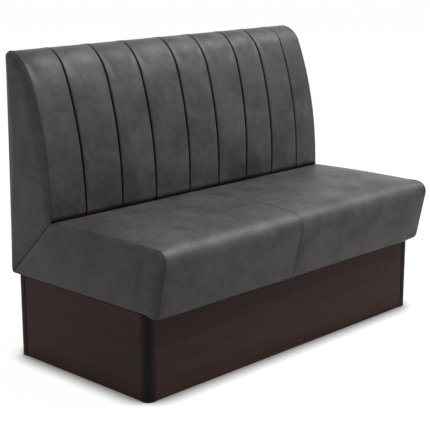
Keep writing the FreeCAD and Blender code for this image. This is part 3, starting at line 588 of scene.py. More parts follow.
def effect(tree, name, **inputs):
    """One of the shared effects, placed in a material."""
    made = tree.nodes.new("ShaderNodeGroup")
    made.node_tree = GROUPS[name]
    for key, what in inputs.items():
        made.inputs[key].default_value = what
    return made


def mix(tree, factor, first, second, blend="MIX"):
    """A colour between two, by a factor that changes over the surface."""
    made = tree.nodes.new("ShaderNodeMix")
    made.data_type = "RGBA"
    made.blend_type = blend
    for socket, what in ((made.inputs[0], factor), (made.inputs[6], first), (made.inputs[7], second)):
        if isinstance(what, bpy.types.NodeSocket):
            tree.links.new(what, socket)
        else:
            socket.default_value = what
    return made.outputs[2]


def bump(tree, shader, height, distance, strength=1.0):
    """Fine relief on the shader's normal."""
    made = add(tree, "ShaderNodeBump", {"Height": height, "Distance": distance, "Strength": strength})
    tree.links.new(made.outputs[0], shader.inputs["Normal"])


# %% [markdown]
# ### The cover's cloth
# The cover is a matt charcoal cloth with a faint warm streak from use, paler where it rubs and
# painted almost black in the clefts as shade. The effects are mixed one over the other, from the
# widest to the finest, so each can be made weaker or stronger by itself.

# %% Charcoal coated cloth
def make_upholstery():
    """Matt charcoal with soft clouding and a pebbled skin."""
    material, tree, shader = new_material("charcoal_cover", Specular_IOR_Level=0.3)
    cloud = effect(tree, "clouding", Scale=9.0).outputs["Value"]
    streak_place = place_of(tree, (14, 2.2, 14))
    streak = noise(tree, streak_place, 6, 4, 0.6)
    base = mix(tree, cloud, linear(46, 45, 46), linear(86, 85, 86))
    base = mix(tree, ranged(tree, streak, 0.0, 0.4), base, linear(84, 72, 69))
    wear = effect(tree, "edge_wear", Amount=0.5).outputs["Mask"]
    base = mix(tree, wear, base, linear(125, 122, 120))
    # painted shade: clefts and folds turn near black where little light could reach
    crease_shade = effect(tree, "crease_shade", Reach=0.012).outputs["Mask"]
    base = mix(tree, crease_shade, base, linear(9, 8, 8))
    tree.links.new(base, shader.inputs["Base Color"])
    tree.links.new(ranged(tree, cloud, 0.52, 0.45), shader.inputs["Roughness"])
    bump(tree, shader, effect(tree, "pebble", Scale=900.0).outputs["Height"], 0.0004, 0.5)
    return material


upholstery = make_upholstery()
print("made", upholstery.name)


# %% [markdown]
# ### Thread, laminate and posts
# The thread is a little paler than the cloth, so that its stitches show. The plinth is dark wood
# laminate, with moulded corner posts that are nearly black and scuffed. All three are kept low in
# shine, because they stand in a white surrounding that a shiny face would mirror.

# %% Thread, laminate and moulded posts
def make_thread():
    """Dark bonded thread with a little twist in its colour."""
    material, tree, shader = new_material("charcoal_thread", Roughness=0.6)
    value = noise(tree, place_of(tree), 900, 2)
    tree.links.new(mix(tree, value, linear(88, 86, 85), linear(120, 117, 115)), shader.inputs["Base Color"])
    return material


def make_laminate():
    """Dark wood-look laminate with level grain and worn edges."""
    material, tree, shader = new_material("dark_laminate", Specular_IOR_Level=0.12)
    grain = effect(tree, "wood_grain", Along=4.5, Across=110.0)
    base = mix(tree, grain.outputs["Value"], linear(45, 31, 29), linear(82, 59, 53))
    wear = effect(tree, "edge_wear", Amount=0.8).outputs["Mask"]
    base = mix(tree, wear, base, linear(104, 84, 74))
    tree.links.new(base, shader.inputs["Base Color"])
    tree.links.new(ranged(tree, grain.outputs["Value"], 0.46, 0.58), shader.inputs["Roughness"])
    bump(tree, shader, grain.outputs["Height"], 0.0003, 0.4)
    return material


def make_post_plastic():
    """Near black moulded profile with a fine matt skin and scuffs."""
    material, tree, shader = new_material("black_profile", Specular_IOR_Level=0.1)
    cloud = effect(tree, "clouding", Scale=22.0).outputs["Value"]
    base = mix(tree, cloud, linear(19, 17, 16), linear(26, 23, 22))
    wear = effect(tree, "edge_wear", Amount=0.7).outputs["Mask"]
    base = mix(tree, wear, base, linear(92, 86, 82))
    tree.links.new(base, shader.inputs["Base Color"])
    tree.links.new(ranged(tree, cloud, 0.42, 0.58), shader.inputs["Roughness"])
    bump(tree, shader, effect(tree, "pebble", Scale=1400.0).outputs["Height"], 0.0002, 0.4)
    return material


thread = make_thread()
laminate = make_laminate()
post_plastic = make_post_plastic()
print("made", ", ".join(m.name for m in (thread, laminate, post_plastic)))


# %% [markdown]
# ### Finishes inside the bench
# Under the covers are pine rails, birch ply, hardboard, foam, felt, woven straps, nylon pads and
# plated bolts. Little of it shows, but the pieces can be taken off one by one, so each has its own
# finish. Three makers are enough for all: one for grain, one for weave and one for mottling.

# %% Timber, boards, straps and metal inside
def make_timber(name, pale, deep, along=3.0, across=60.0):
    """Sawn or pressed board."""
    material, tree, shader = new_material(name)
    grain = effect(tree, "wood_grain", Along=along, Across=across)
    base = mix(tree, grain.outputs["Value"], linear(*pale), linear(*deep))
    wear = effect(tree, "edge_wear", Amount=0.6).outputs["Mask"]
    tree.links.new(mix(tree, wear, base, linear(214, 190, 150)), shader.inputs["Base Color"])
    tree.links.new(ranged(tree, grain.outputs["Value"], 0.6, 0.75), shader.inputs["Roughness"])
    bump(tree, shader, grain.outputs["Height"], 0.0005, 0.6)
    return material


def make_woven(name, first, second, pitch):
    """Strap or cloth with over-and-under threads."""
    material, tree, shader = new_material(name, Specular_IOR_Level=0.3)
    place = place_of(tree)
    parts = add(tree, "ShaderNodeSeparateXYZ", {"Vector": place})
    waves = []
    for axis in ("X", "Y", "Z"):
        turns = math_node(tree, "MULTIPLY", parts.outputs[axis], math.tau / pitch)
        waves.append(math_node(tree, "SINE", turns, 0.0))
    ridges = math_node(tree, "ADD", math_node(tree, "MULTIPLY", waves[0], waves[1]), waves[2])
    value = ranged(tree, ridges, 0.25, 0.75)
    tree.links.new(mix(tree, value, linear(*first), linear(*second)), shader.inputs["Base Color"])
    tree.links.new(ranged(tree, value, 0.75, 0.9), shader.inputs["Roughness"])
    bump(tree, shader, ridges, 0.0004, 0.7)
    return material


def make_mottled(name, first, second, scale, relief, rough=(0.7, 0.9), metal=0.0):
    """Foam, felt, nylon or plated steel: two tones, a roughness range and a relief."""
    material, tree, shader = new_material(name, Metallic=metal)
    value = effect(tree, "clouding", Scale=scale).outputs["Value"]
    tree.links.new(mix(tree, value, linear(*first), linear(*second)), shader.inputs["Base Color"])
    tree.links.new(ranged(tree, value, *rough), shader.inputs["Roughness"])
    bump(tree, shader, effect(tree, "pebble", Scale=scale * 14).outputs["Height"], relief, 0.6)
    return material


# %% A material for every slot of the frame
ZINC_ROUGHNESS = (0.28, 0.42)
SLOT_MATERIALS = {
    "plinth_laminate": laminate,
    "corner_post": post_plastic,
    "frame_timber": make_timber("pine_frame", (196, 162, 112), (170, 130, 82)),
    "frame_plywood": make_timber("birch_ply", (205, 178, 135), (184, 150, 104), 2.0, 90.0),
    "rear_hardboard": make_timber("brown_hardboard", (120, 84, 56), (102, 68, 44), 20.0, 20.0),
    "foot_nylon": make_mottled("black_nylon", (34, 33, 33), (44, 43, 42), 60, 0.0002, (0.4, 0.55)),
    "zinc_steel": make_mottled("zinc_plate", (176, 178, 180), (148, 150, 154), 90, 0.0001,
                               ZINC_ROUGHNESS, metal=1.0),
}
foam = make_mottled("cream_foam", (222, 206, 160), (206, 188, 140), 120, 0.0008)
felt = make_mottled("grey_felt", (120, 118, 114), (98, 96, 94), 200, 0.0006)
strap = make_woven("black_strap", (40, 38, 38), (66, 62, 60), 0.003)
finished = 0
for row in frame["record"]["subparts"]:
    if row["material_slot"] in SLOT_MATERIALS:
        node = frame["nodes"][row["node"]]
        node.data.materials.clear()
        node.data.materials.append(SLOT_MATERIALS[row["material_slot"]])
        finished += 1
print("finished", finished, "pieces of the frame")

# %% [markdown]
# ## Seat covers
# The seat's cover is cut in two halves that meet at a seam near the middle. Each half runs from a lap
# under the front rail, up the leaning front, round the nose and back to the joint with the backrest,
# where it ends in a second lap that is tucked in under the back's foot. One wide sheet with a line
# pressed into it would be less work. Two halves are made as they are cut, because the seam wanders
# and each half swells by itself.

# %% How the seat's cover lies at its seams
SEAT_COLUMNS = (0.0, 0.0005, 0.001, 0.0018, 0.003, 0.0055, 0.009, 0.0135, 0.019)
SEAT_STATIONS = 64
SEAT_EDGE_TUCK = 0.0035
SEAT_EDGE_ROUND = 0.010
SEAM_TUCK = 0.0016
SEAM_ROUND = 0.004
SEAM_REAR, SEAM_NOSE, SEAM_HEM = -0.045, -0.040, -0.055
START_INSET = 0.0015
JOINT_TUCK, SEAT_JOINT_ROUND, BACK_JOINT_ROUND = 0.011, 0.0065, 0.015
JOINT_CALM = 0.04
JOINT_LAP = 0.004
JOINT_ROWS_FROM = 60
NOSE_ROW = 35
START_REACH = 0.03
GROOVE_DEPTH, GROOVE_WIDTH = 0.0035, 0.0017


def seam_place(row, rows):
    """Where the middle seam lies across the bench at one row: it wanders by a finger's width."""
    if row < NOSE_ROW:
        return SEAM_HEM + (SEAM_NOSE - SEAM_HEM) * row / NOSE_ROW
    return SEAM_NOSE + (SEAM_REAR - SEAM_NOSE) * (row - NOSE_ROW) / (rows - 1 - NOSE_ROW)


def joint_dip(distance, width):
    """How far cloth turns in along the joint where seat and back meet."""
    return tuck(max(0.0, distance), JOINT_TUCK, width)


def edge_dip(distance):
    """How deep a cover lies near its end seam: a soft round, with a narrow groove at the thread."""
    return tuck(distance, SEAT_EDGE_TUCK, SEAT_EDGE_ROUND) + tuck(distance, GROOVE_DEPTH, GROOVE_WIDTH)


def joint_freedom(grid):
    """How freely each row may swell: not at all on the joint, fully beyond a few centimetres."""
    middle = grid[:, grid.shape[1] // 2]
    gap = np.hypot(middle[:, 1] - FACE_Y, middle[:, 2] - CORNER_Z)
    return np.clip(gap / JOINT_CALM, 0, 1) ** 1.5


# %% One half of the seat cover
def seat_half(side):
    """The grid of one half, before it swells, with a lap that is tucked in under the back."""
    rows = len(seat_line(0, 0))
    columns = 2 * len(SEAT_COLUMNS) + SEAT_STATIONS - 1
    grid = np.zeros((rows, columns, 3))
    length = HALF + side * SEAM_REAR
    offsets = stations(length, SEAT_COLUMNS, SEAT_STATIONS)
    for j, offset in enumerate(offsets):
        share = offset / length
        to_seam = length - offset
        inset = edge_dip(offset) + tuck(to_seam, SEAM_TUCK, SEAM_ROUND)
        inset += START_INSET * min(1, offset / START_REACH, to_seam / START_REACH)
        fullness = (1 - (1 - min(1, share / 0.5)) ** 6) * (1 - 0.2 * max(0, share - 0.5) * 2)
        points = seat_line(float(inset), fullness, hem_size(offset))
        for i, (y, z) in enumerate(points):
            edge = side * HALF
            seam = seam_place(i, rows)
            row_length = abs(seam - edge)
            near = SEAT_COLUMNS[-1]
            if offset <= near:
                x = edge - side * offset
            elif to_seam <= near:
                x = seam + side * to_seam
            else:
                middle = (offset - near) / (length - 2 * near)
                x = edge - side * (near + (row_length - 2 * near) * middle)
            dip = joint_dip(points[-1][0] - y, SEAT_JOINT_ROUND) if i > JOINT_ROWS_FROM else 0
            grid[i, j] = (x, y, z - dip)
    lap = grid[-1:] + (0, JOINT_TUCK + JOINT_LAP, 0)
    return np.concatenate([grid, lap])


# %% Both halves, swelled and dressed
SEAT_SWELL = 0.006
SEAT_GRIDS = {}
for label, side in (("left", -1), ("right", 1)):
    grid = seat_half(side)
    held = np.zeros(grid.shape[:2], bool)
    held[:6] = held[-2:] = True
    held[:, :4] = held[:, -3:] = True
    grid = swell("seat_cover_" + label, grid, held, SEAT_SWELL, (0, -0.4, 1), joint_freedom(grid))
    SEAT_GRIDS[label] = grid
    cover = grid_mesh("seat_cloth_" + label, grid, (0, -0.4, 1))
    dress(cover, upholstery, "upholstery", "seat_cover_" + label, thickness=0.0035, fill=0.8)


# %% [markdown]
# ## Side covers
# Each end of the seat and of the back is closed by a flat panel of cloth that is sewn in all round.
# One flat face would do from afar, but its edge would look cut with a knife. So four border lines are
# blended into a grid, and its distance from the seam rounds its edge over.

# %% Panels between four border lines
def blended(bottom, right, top, left):
    """A grid between four lines: bottom and top run the same way, left and right rise."""
    rows, columns = len(left), len(bottom)
    u = np.linspace(0, 1, columns)[None, :, None]
    v = np.linspace(0, 1, rows)[:, None, None]
    across = left[:, None] * (1 - u) + right[:, None] * u
    up = bottom[None] * (1 - v) + top[None] * v
    corners = (bottom[0] * (1 - u) * (1 - v) + bottom[-1] * u * (1 - v)
               + top[0] * (1 - u) * v + top[-1] * u * v)
    return across + up - corners


def rim_distance(points, rim):
    """How far each point lies from a line."""
    flat = points.reshape(-1, 2)
    best = np.full(len(flat), 1e9)
    for a, b in zip(rim[:-1], rim[1:]):
        along = b - a
        size = max(along @ along, 1e-12)
        share = np.clip((flat - a) @ along / size, 0, 1)
        gap = flat - (a + share[:, None] * along)
        best = np.minimum(best, np.linalg.norm(gap, axis=1))
    return best.reshape(points.shape[:2])


# %% Rounding a panel into its seams
PANEL_ROUND = 0.008
REAR_FOLD = 0.0045
FOOT_ROUND = 0.0025
PANEL_OUT = SIDE - HALF + 0.002
MITRE_TUCK, MITRE_ROUND = 0.0022, 0.0035


def side_panel(name, borders, rounds, mitre, side, cap, node):
    """One end panel, rounded into its seams and only lightly tucked in on the mitre."""
    flat = blended(*borders)
    share = np.zeros(flat.shape[:2])
    for border, width in zip(borders, rounds):
        if width:
            share = np.maximum(share, 1 - rim_distance(flat, border) / width)
    joined = tuck(rim_distance(flat, borders[mitre]), MITRE_TUCK, MITRE_ROUND)
    for sewn in borders[2:]:
        joined += tuck(rim_distance(flat, sewn), GROOVE_DEPTH, GROOVE_WIDTH)
    out = np.maximum(PANEL_OUT * np.sqrt(1 - share ** 2) - joined, 0)
    grid = np.concatenate([(side * (HALF + out))[..., None], flat], axis=2)
    held = np.zeros(flat.shape[:2], bool)
    held[:1] = held[-1:] = True
    held[:, :1] = held[:, -1:] = True
    grid = swell(name, grid, held, cap, (side, 0, 0))
    panel = grid_mesh(name, grid, (side, 0, 0))
    dress(panel, upholstery, "upholstery", node, thickness=0.0035, fill=0.7)


# %% Borders of the seat's and the back's ends
def crowded(points, count, near=(0.0, 0.0005, 0.001, 0.0018, 0.004, 0.0075)):
    """A line divided with its points close together at both ends."""
    points = np.array(points)
    run = run_along(points)
    marks = stations(run[-1], near, count)
    return np.stack([np.interp(marks, run, points[:, k]) for k in range(2)], axis=1)


def seat_end_borders():
    """Bottom, mitre, top and front of the seat's end panel."""
    outline = seat_line(SEAT_EDGE_TUCK, 0, HEM_END_RADIUS)
    low_z = PLINTH_TOP + 0.001
    front, top = outline[5:41], outline[41:]
    rear_foot = (mitre_y(low_z), low_z)
    bottom = [front[0], (PLINTH_FACE, low_z), rear_foot]
    mitre = [rear_foot, top[-1]]
    return crowded(bottom, 56), crowded(mitre, 22), crowded(top, 56), crowded(front + [top[0]], 22)


def back_end_borders(curve):
    """Mitre, rear, top and front of the back's end panel."""
    outline = back_line(SEAT_EDGE_TUCK, curve)
    crest = 2 + len(FRONT_SHARES) - 1
    front = outline[:crest + 1]
    top = outline[crest:crest + 6]
    turn = outline[crest + 7:crest + 4:-1]
    foot_z = PLINTH_TOP + 0.0015
    rear_foot = (mitre_y(foot_z), foot_z)
    rear = [rear_foot, (rear_y(foot_z) - 0.001, foot_z + 0.008)] + turn
    return crowded([front[0], rear_foot], 22), crowded(rear, 84), crowded(top, 22), crowded(front, 84)


# %% Four end panels
SEAT_END_SWELL, BACK_END_SWELL = 0.005, 0.003
SEAT_ROUNDS = (FOOT_ROUND, 0, PANEL_ROUND, PANEL_ROUND)
BACK_ROUNDS = (0, REAR_FOLD, PANEL_ROUND, PANEL_ROUND)
for label, side, curve in (("left", -1, SEAM_CURVE), ("right", 1, FULL_CURVE)):
    side_panel("seat_end_" + label, seat_end_borders(), SEAT_ROUNDS, 1, side, SEAT_END_SWELL,
               "seat_side_cover_" + label)
    side_panel("back_end_" + label, back_end_borders(curve), BACK_ROUNDS, 0, side, BACK_END_SWELL,
               "back_side_cover_" + label)

# %% [markdown]
# ## The channelled back
# Nine upright pads are sewn through to the foam. Between them the cloth dives into a narrow cleft, so
# each seam reads as a dark line that is widest at mid height and closes towards the top. A painted
# line would stay the same in any light. So the grid's columns are crowded at each seam and carried
# down into the cleft.

# %% Seams and clefts
SEAMS_LOW = (-0.5025, -0.3484, -0.1979, -0.0393, 0.1044, 0.2475, 0.3868, 0.5271)
SEAMS_HIGH = (-0.5035, -0.3377, -0.1888, -0.0184, 0.1259, 0.2835, 0.409, 0.5385)
SEAM_PULL_SHARES = (1, 0.5, 1, 1, 1, 1, 1, 1, 0.1, 0)
CLEFT_COLUMNS = (0.0, 0.0006, 0.0013, 0.0022, 0.0031, 0.0043, 0.006, 0.0085, 0.013)
CLEFT_DEPTH = 0.014
CLEFT_WIDE, CLEFT_NARROW, CLEFT_ROUND = 0.0019, 0.0004, 0.0042
LAST_CLEFT_SHARE = 0.6
CHANNEL_STATIONS = 14
CHANNEL_START = 0.0015
CHANNEL_START_REACH = 0.02
SEWN_WIDTH = 0.0012
print(len(SEAMS_LOW), "seams, their clefts", 1000 * CLEFT_DEPTH, "mm deep")


def seam_at(number, share):
    """Where one seam lies across the bench, at a share of the way up the back."""
    edges_low = (-HALF,) + SEAMS_LOW + (HALF,)
    edges_high = (-HALF,) + SEAMS_HIGH + (HALF,)
    return edges_low[number] + (edges_high[number] - edges_low[number]) * share


def cleft_depth(distance, number, height):
    """How deep the cloth lies at a distance from a seam, at a share of the way up the back."""
    if number in (0, len(SEAMS_LOW) + 1):
        return edge_dip(distance)
    swing = math.sin(math.pi * min(1, 0.1 + 0.9 * height)) ** 0.7
    size = LAST_CLEFT_SHARE if number == len(SEAMS_LOW) else 1.0
    gap = (CLEFT_NARROW + (CLEFT_WIDE - CLEFT_NARROW) * swing) * size
    depth = CLEFT_DEPTH * (0.35 + 0.65 * swing) * size
    return tuck(max(0.0, distance - gap), depth, CLEFT_ROUND)


# %% The back's line at any inset
LINE_STEP = 0.0001
INSETS = [k * LINE_STEP for k in range(int(0.026 / LINE_STEP) + 2)]
FULL_LINES = np.array([back_line(inset, FULL_CURVE) for inset in INSETS])
SEAM_LINES = np.array([back_line(inset, SEAM_CURVE) for inset in INSETS])


def back_point(row, inset, pull):
    """A point of the back at any inset; a pull of 1 lies on the seams' line, 0 on the full one."""
    number = int(inset / LINE_STEP)
    share = inset / LINE_STEP - number
    full = FULL_LINES[number, row] * (1 - share) + FULL_LINES[number + 1, row] * share
    seam = SEAM_LINES[number, row] * (1 - share) + SEAM_LINES[number + 1, row] * share
    return full * (1 - pull) + seam * pull


# %% The grid of the nine channels
def channel_grid():
    """Rows up the back, columns across all nine channels."""
    base = back_line(0)
    heights = np.clip((np.array([p[1] for p in base]) - SEAT_TOP) / (TOP - SEAT_TOP), 0, 1)
    columns = []
    held = []
    for number in range(len(SEAMS_LOW) + 1):
        low, high = seam_at(number, 0), seam_at(number + 1, 0)
        offsets = stations(high - low, CLEFT_COLUMNS, CHANNEL_STATIONS)
        start = 0 if number == 0 else 1
        for offset in offsets[start:]:
            left, right = offset, high - low - offset
            start_inset = CHANNEL_START * min(1, left / CHANNEL_START_REACH, right / CHANNEL_START_REACH)
            pull = SEAM_PULL_SHARES[number if left < right else number + 1]
            pull *= (1 - min(left, right) / (high - low) * 2) ** 2.2
            near = CLEFT_COLUMNS[-1]
            column = []
            for i, height in enumerate(heights):
                inset = start_inset + cleft_depth(left, number, height)
                inset += cleft_depth(right, number + 1, height)
                foot = joint_dip(base[i][1] - CORNER_Z, BACK_JOINT_ROUND)
                y, z = back_point(i, inset + foot, pull)
                a, b = seam_at(number, heights[i]), seam_at(number + 1, heights[i])
                if left <= near:
                    x = a + left
                elif right <= near:
                    x = b - right
                else:
                    x = a + near + (b - a - 2 * near) * (left - near) / (high - low - 2 * near)
                column.append((x, y, z))
            columns.append(column)
            held.append(min(left, right) < SEWN_WIDTH)
    return np.array(columns).transpose(1, 0, 2), np.array(held)


# %% The back's cover, swelled and dressed
BACK_SWELL = 0.0045
grid, seam_columns = channel_grid()
held = np.zeros(grid.shape[:2], bool)
held[:1] = held[-3:] = True
held[:, seam_columns] = True
grid = swell("back_channels", grid, held, BACK_SWELL, (0, -1, 0.3), joint_freedom(grid))
BACK_GRID = grid
channels = grid_mesh("back_cloth_channels", grid, (0, -1, 0.3))
dress(channels, upholstery, "upholstery", "back_cover", thickness=0.003, fill=0.8)

# %% [markdown]
# ## Foam blocks
# Under the covers lie three blocks of cut foam: one for the seat, a thin one on the front rail and a
# slab bent over the back's board. Copies of the covers, moved inwards, would have their clefts too,
# and cut foam has none. So each is a ring of points carried from end to end and closed there.

# %% Foam under the covers
def carried(name, ring, ends, draw=0.004):
    """A block whose outline is carried along the bench, drawn in and rounded at both ends."""
    ring = np.array(ring)
    centre = ring.mean(axis=0)
    low, high = ends
    places = stations(high - low, (0.0, 0.0015, 0.005, 0.012), 12)
    layers = []
    for offset in places:
        near = min(offset, high - low - offset)
        inset = tuck(near, draw, 0.012)
        away = ring - centre
        size = np.linalg.norm(away, axis=1, keepdims=True)
        layer = ring - away / size * inset
        layers.append(np.column_stack([np.full(len(ring), low + offset), layer]))
    count = len(ring)
    points = np.concatenate(layers)
    faces = []
    for i in range(len(places) - 1):
        for k in range(count):
            after = (k + 1) % count
            faces.append((i * count + k, i * count + after, (i + 1) * count + after, (i + 1) * count + k))
    faces += [tuple(range(count)), tuple(len(points) - 1 - k for k in range(count))]
    mesh = bpy.data.meshes.new(name)
    mesh.from_pydata(points.tolist(), [], faces)
    shape = bmesh.new()
    shape.from_mesh(mesh)
    bmesh.ops.recalc_face_normals(shape, faces=shape.faces)
    shape.to_mesh(mesh)
    shape.free()
    piece = bpy.data.objects.new(name, mesh)
    bpy.context.scene.collection.objects.link(piece)
    return piece


# %% Outlines of the three blocks
FOAM_INSET = 0.0185
SEAT_FOAM_INSET = 0.0125
FOAM_CHAMFER = 0.022
FOAM_GAP = 0.004
SLAB = 0.030
seat_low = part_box("seat_foam")[0].z
seat_top = [p for p in seat_line(SEAT_FOAM_INSET, 0.0)[11:] if p[1] > seat_low]
seat_outer = [p for p in seat_top if p[0] < FACE_Y - FOAM_CHAMFER]
chamfer_low = seat_outer[-1][1] - FOAM_CHAMFER
seat_ring = seat_outer[::3] + [seat_outer[-1]]
seat_ring += [(mitre_y(z) - FOAM_GAP, z) for z in (chamfer_low, seat_low)]
seat_ring.append((seat_outer[0][0] + 0.001, seat_low))
back_outer = back_line(FOAM_INSET)[2:73]
back_inner = back_line(FOAM_INSET + SLAB)[2:73]
back_ring = back_outer[::3] + back_inner[::-3]
front_low, front_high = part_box("seat_front_foam")
lean_run = (front_high.z - front_low.z) * math.tan(SEAT_LEAN)
front_ring = [(front_low.y + lean_run, front_low.z), (front_low.y, front_high.z),
              (front_high.y - lean_run, front_high.z), (front_high.y, front_low.z)]
for name, ring, node in (("seat_foam_block", seat_ring, "seat_foam"),
                         ("back_foam_slab", back_ring, "back_foam"),
                         ("rail_foam_strip", front_ring, "seat_front_foam")):
    block = carried(name, ring, (-HALF + 0.001, HALF - 0.001))
    dress(block, foam, "foam", node, levels=0, fill=0.9)

# %% [markdown]
# ## Webbing
# Four long straps and nine cross straps are woven over and under each other and stapled to the rails.
# Flat strips would pass through each other. A simulated weave would be slow and end up the same. So
# each is a thin strip whose height follows a wave, one way for its odd neighbours and the other for
# the even ones.

# %% Places of the straps
STRAP_WIDTH = 0.060
STRAP_THICK = 0.0017
WEAVE_RISE = 0.0011
long_box, cross_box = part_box("seat_webbing_long"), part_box("seat_webbing_cross")
LONG_COUNT, CROSS_COUNT = 4, 9
WEAVE_Z = (long_box[0].z + long_box[1].z) / 2


def spots(low, high, count):
    """The middles of straps that fill a width evenly, given the outer edges of the first and last."""
    first, last = low + STRAP_WIDTH / 2, high - STRAP_WIDTH / 2
    return [first + (last - first) * k / (count - 1) for k in range(count)]


LONG_PLACES = spots(long_box[0].y, long_box[1].y, LONG_COUNT)
CROSS_PLACES = spots(cross_box[0].x, cross_box[1].x, CROSS_COUNT)


def strap_grid(start, stop, across, crossings, parity):
    """Points along a strap and across it, lifted over every second strap that it meets."""
    pitch = crossings[1] - crossings[0]
    runs = np.linspace(start, stop, 12 * len(crossings) + 1)
    wave = WEAVE_RISE * np.cos(math.pi * ((runs - crossings[0]) / pitch + parity))
    sides = across + STRAP_WIDTH * np.array([-0.5, -0.48, 0, 0.48, 0.5])
    grid = np.zeros((len(runs), len(sides), 3))
    grid[..., 0] = runs[:, None]
    grid[..., 1] = sides[None]
    grid[..., 2] = WEAVE_Z + wave[:, None]
    return grid


# %% Thirteen straps
def make_strap(name, grid, node):
    """One stretched strap."""
    piece = grid_mesh(name, grid, (0, 0, 1))
    shell = piece.modifiers.new("shell", "SOLIDIFY")
    shell.thickness = STRAP_THICK
    shell.offset = 0
    piece.data.materials.append(strap)
    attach(piece, "bench")
    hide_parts(node)


for number, depth in enumerate(LONG_PLACES):
    grid = strap_grid(long_box[0].x, long_box[1].x, depth, CROSS_PLACES, number)
    make_strap(f"long_strap_{number + 1}", grid, "seat_webbing_long")
for number, width in enumerate(CROSS_PLACES):
    grid = strap_grid(cross_box[0].y, cross_box[1].y, width, LONG_PLACES, number + 1)
    make_strap(f"cross_strap_{number + 1}", grid[..., [1, 0, 2]], "seat_webbing_cross")
print(LONG_COUNT + CROSS_COUNT, "straps")

# %% [markdown]
# ## Felt
# A felt lies on the straps and keeps the foam from chafing. It is laid, not stretched, so it sinks a
# little between them. A low wave both ways is enough for that, as the foam hides it.

# %% Felt on the straps
felt_low, felt_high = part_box("seat_felt")
felt_grid = np.zeros((20, 44, 3))
felt_grid[..., 0] = np.linspace(felt_low.x, felt_high.x, 44)[None]
felt_grid[..., 1] = np.linspace(felt_low.y, felt_high.y, 20)[:, None]
waves = np.sin(felt_grid[..., 0] * math.tau / 0.143) * np.sin(felt_grid[..., 1] * math.tau / 0.136)
felt_grid[..., 2] = felt_low.z + 0.0007 + 0.0004 * waves
felt_sheet = grid_mesh("seat_felt_sheet", felt_grid, (0, 0, 1))
dress(felt_sheet, felt, "felt", "seat_felt", thickness=-0.002)

# %% [markdown]
# ## The covered rear
# The rear is one flat piece of the same cloth, stretched over a thin board and folded round its edges.
# Cloth as tight as this gains nothing from a simulation. It is a grid that leans with the frame and
# is rounded along its border.

# %% Rear cover
REAR_ROUND, REAR_TURN = 0.007, 0.0045
REAR_NEAR = (0.0, 0.0015, 0.004, 0.0075, 0.012)
rear_low, rear_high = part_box("back_rear_cover")
rear_x = stations(rear_high.x - rear_low.x, REAR_NEAR, 50) + rear_low.x
rear_z = stations(rear_high.z - rear_low.z, REAR_NEAR, 26) + rear_low.z
rear_grid = np.zeros((len(rear_z), len(rear_x), 3))
rear_grid[..., 0] = rear_x[None]
rear_grid[..., 2] = rear_z[:, None]
edge_gap = np.minimum(np.minimum(rear_x - rear_low.x, rear_high.x - rear_x)[None],
                      np.minimum(rear_z - rear_low.z, rear_high.z - rear_z)[:, None])
turned = tuck(edge_gap, REAR_TURN, REAR_ROUND)
rear_grid[..., 1] = np.array([rear_y(z) for z in rear_z])[:, None] - 0.0004 - turned
rear_sheet = grid_mesh("rear_cloth", rear_grid, (0, 1, 0))
dress(rear_sheet, upholstery, "upholstery", "back_rear_cover", thickness=0.0012)

# %% [markdown]
# ## Stitching
# Rows of stitches run beside the end seams and the seat's middle seam. A stitch is a short rounded
# strand whose ends dive into the cloth. Copies along a drawn curve would float over the cloth or sink
# into it. Laid along a column of the cover's own grid, they follow the cover wherever it bends.

# %% Sizes of a stitch
STITCH_PITCH = 0.0062
STITCH_HALF = 0.0022
STITCH_RADIUS = 0.00055
STITCH_DIVE = 0.0007
RING_SHARES = np.array([-1, -0.85, -0.45, 0, 0.45, 0.85, 1])
RING_SIZES = np.array([0.05, 0.6, 1, 1, 1, 0.6, 0.05])
print("a stitch is", round(2000 * STITCH_HALF, 1), "mm long and", round(2000 * STITCH_RADIUS, 1), "thick")


def grid_normals(grid):
    """The direction that each point of a grid faces."""
    along = np.gradient(grid, axis=0)
    across = np.gradient(grid, axis=1)
    out = np.cross(across, along)
    return out / np.maximum(np.linalg.norm(out, axis=2, keepdims=True), 1e-9)


# %% A row of stitches
def stitch_row(name, path, facing, outward):
    """Stitches along a path, each a six-sided strand with pointed ends."""
    run = run_along(path)
    marks = np.arange(STITCH_PITCH, run[-1] - STITCH_PITCH / 2, STITCH_PITCH)
    if (facing @ np.array(outward)).sum() < 0:
        facing = -facing

    def at(values, where):
        return np.stack([np.interp(where, run, values[:, k]) for k in range(3)], axis=1)

    turns = np.arange(6) * math.tau / 6
    points, faces = [], []
    for mark in marks:
        where = mark + RING_SHARES * STITCH_HALF
        middle, up = at(path, where), at(facing, where)
        up /= np.linalg.norm(up, axis=1, keepdims=True)
        way = np.gradient(middle, axis=0)
        side = np.cross(way, up)
        side /= np.linalg.norm(side, axis=1, keepdims=True)
        middle = middle + up * (0.0004 - STITCH_DIVE * RING_SHARES ** 2)[:, None]
        start = len(points)
        for k in range(len(where)):
            for turn in turns:
                reach = STITCH_RADIUS * RING_SIZES[k]
                points.append(middle[k] + reach * (math.cos(turn) * side[k] + math.sin(turn) * up[k]))
        for k in range(len(where) - 1):
            for t in range(6):
                a, b = start + 6 * k + t, start + 6 * k + (t + 1) % 6
                faces.append((a, b, b + 6, a + 6))
        faces.append(tuple(start + 5 - t for t in range(6)))
        faces.append(tuple(start + 6 * (len(where) - 1) + t for t in range(6)))
    mesh = bpy.data.meshes.new(name)
    mesh.from_pydata([p.tolist() for p in points], [], faces)
    mesh.polygons.foreach_set("use_smooth", [True] * len(faces))
    piece = bpy.data.objects.new(name, mesh)
    bpy.context.scene.collection.objects.link(piece)
    piece.data.materials.append(thread)
    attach(piece, "bench")
    print(name, len(marks), "stitches")


# %% Stitches beside the seams
def stitch_column(name, grid, column, rows, outward):
    """Stitches along one column of a cover's grid."""
    facing = grid_normals(grid)
    stitch_row(name, grid[rows, column], facing[rows, column], outward)


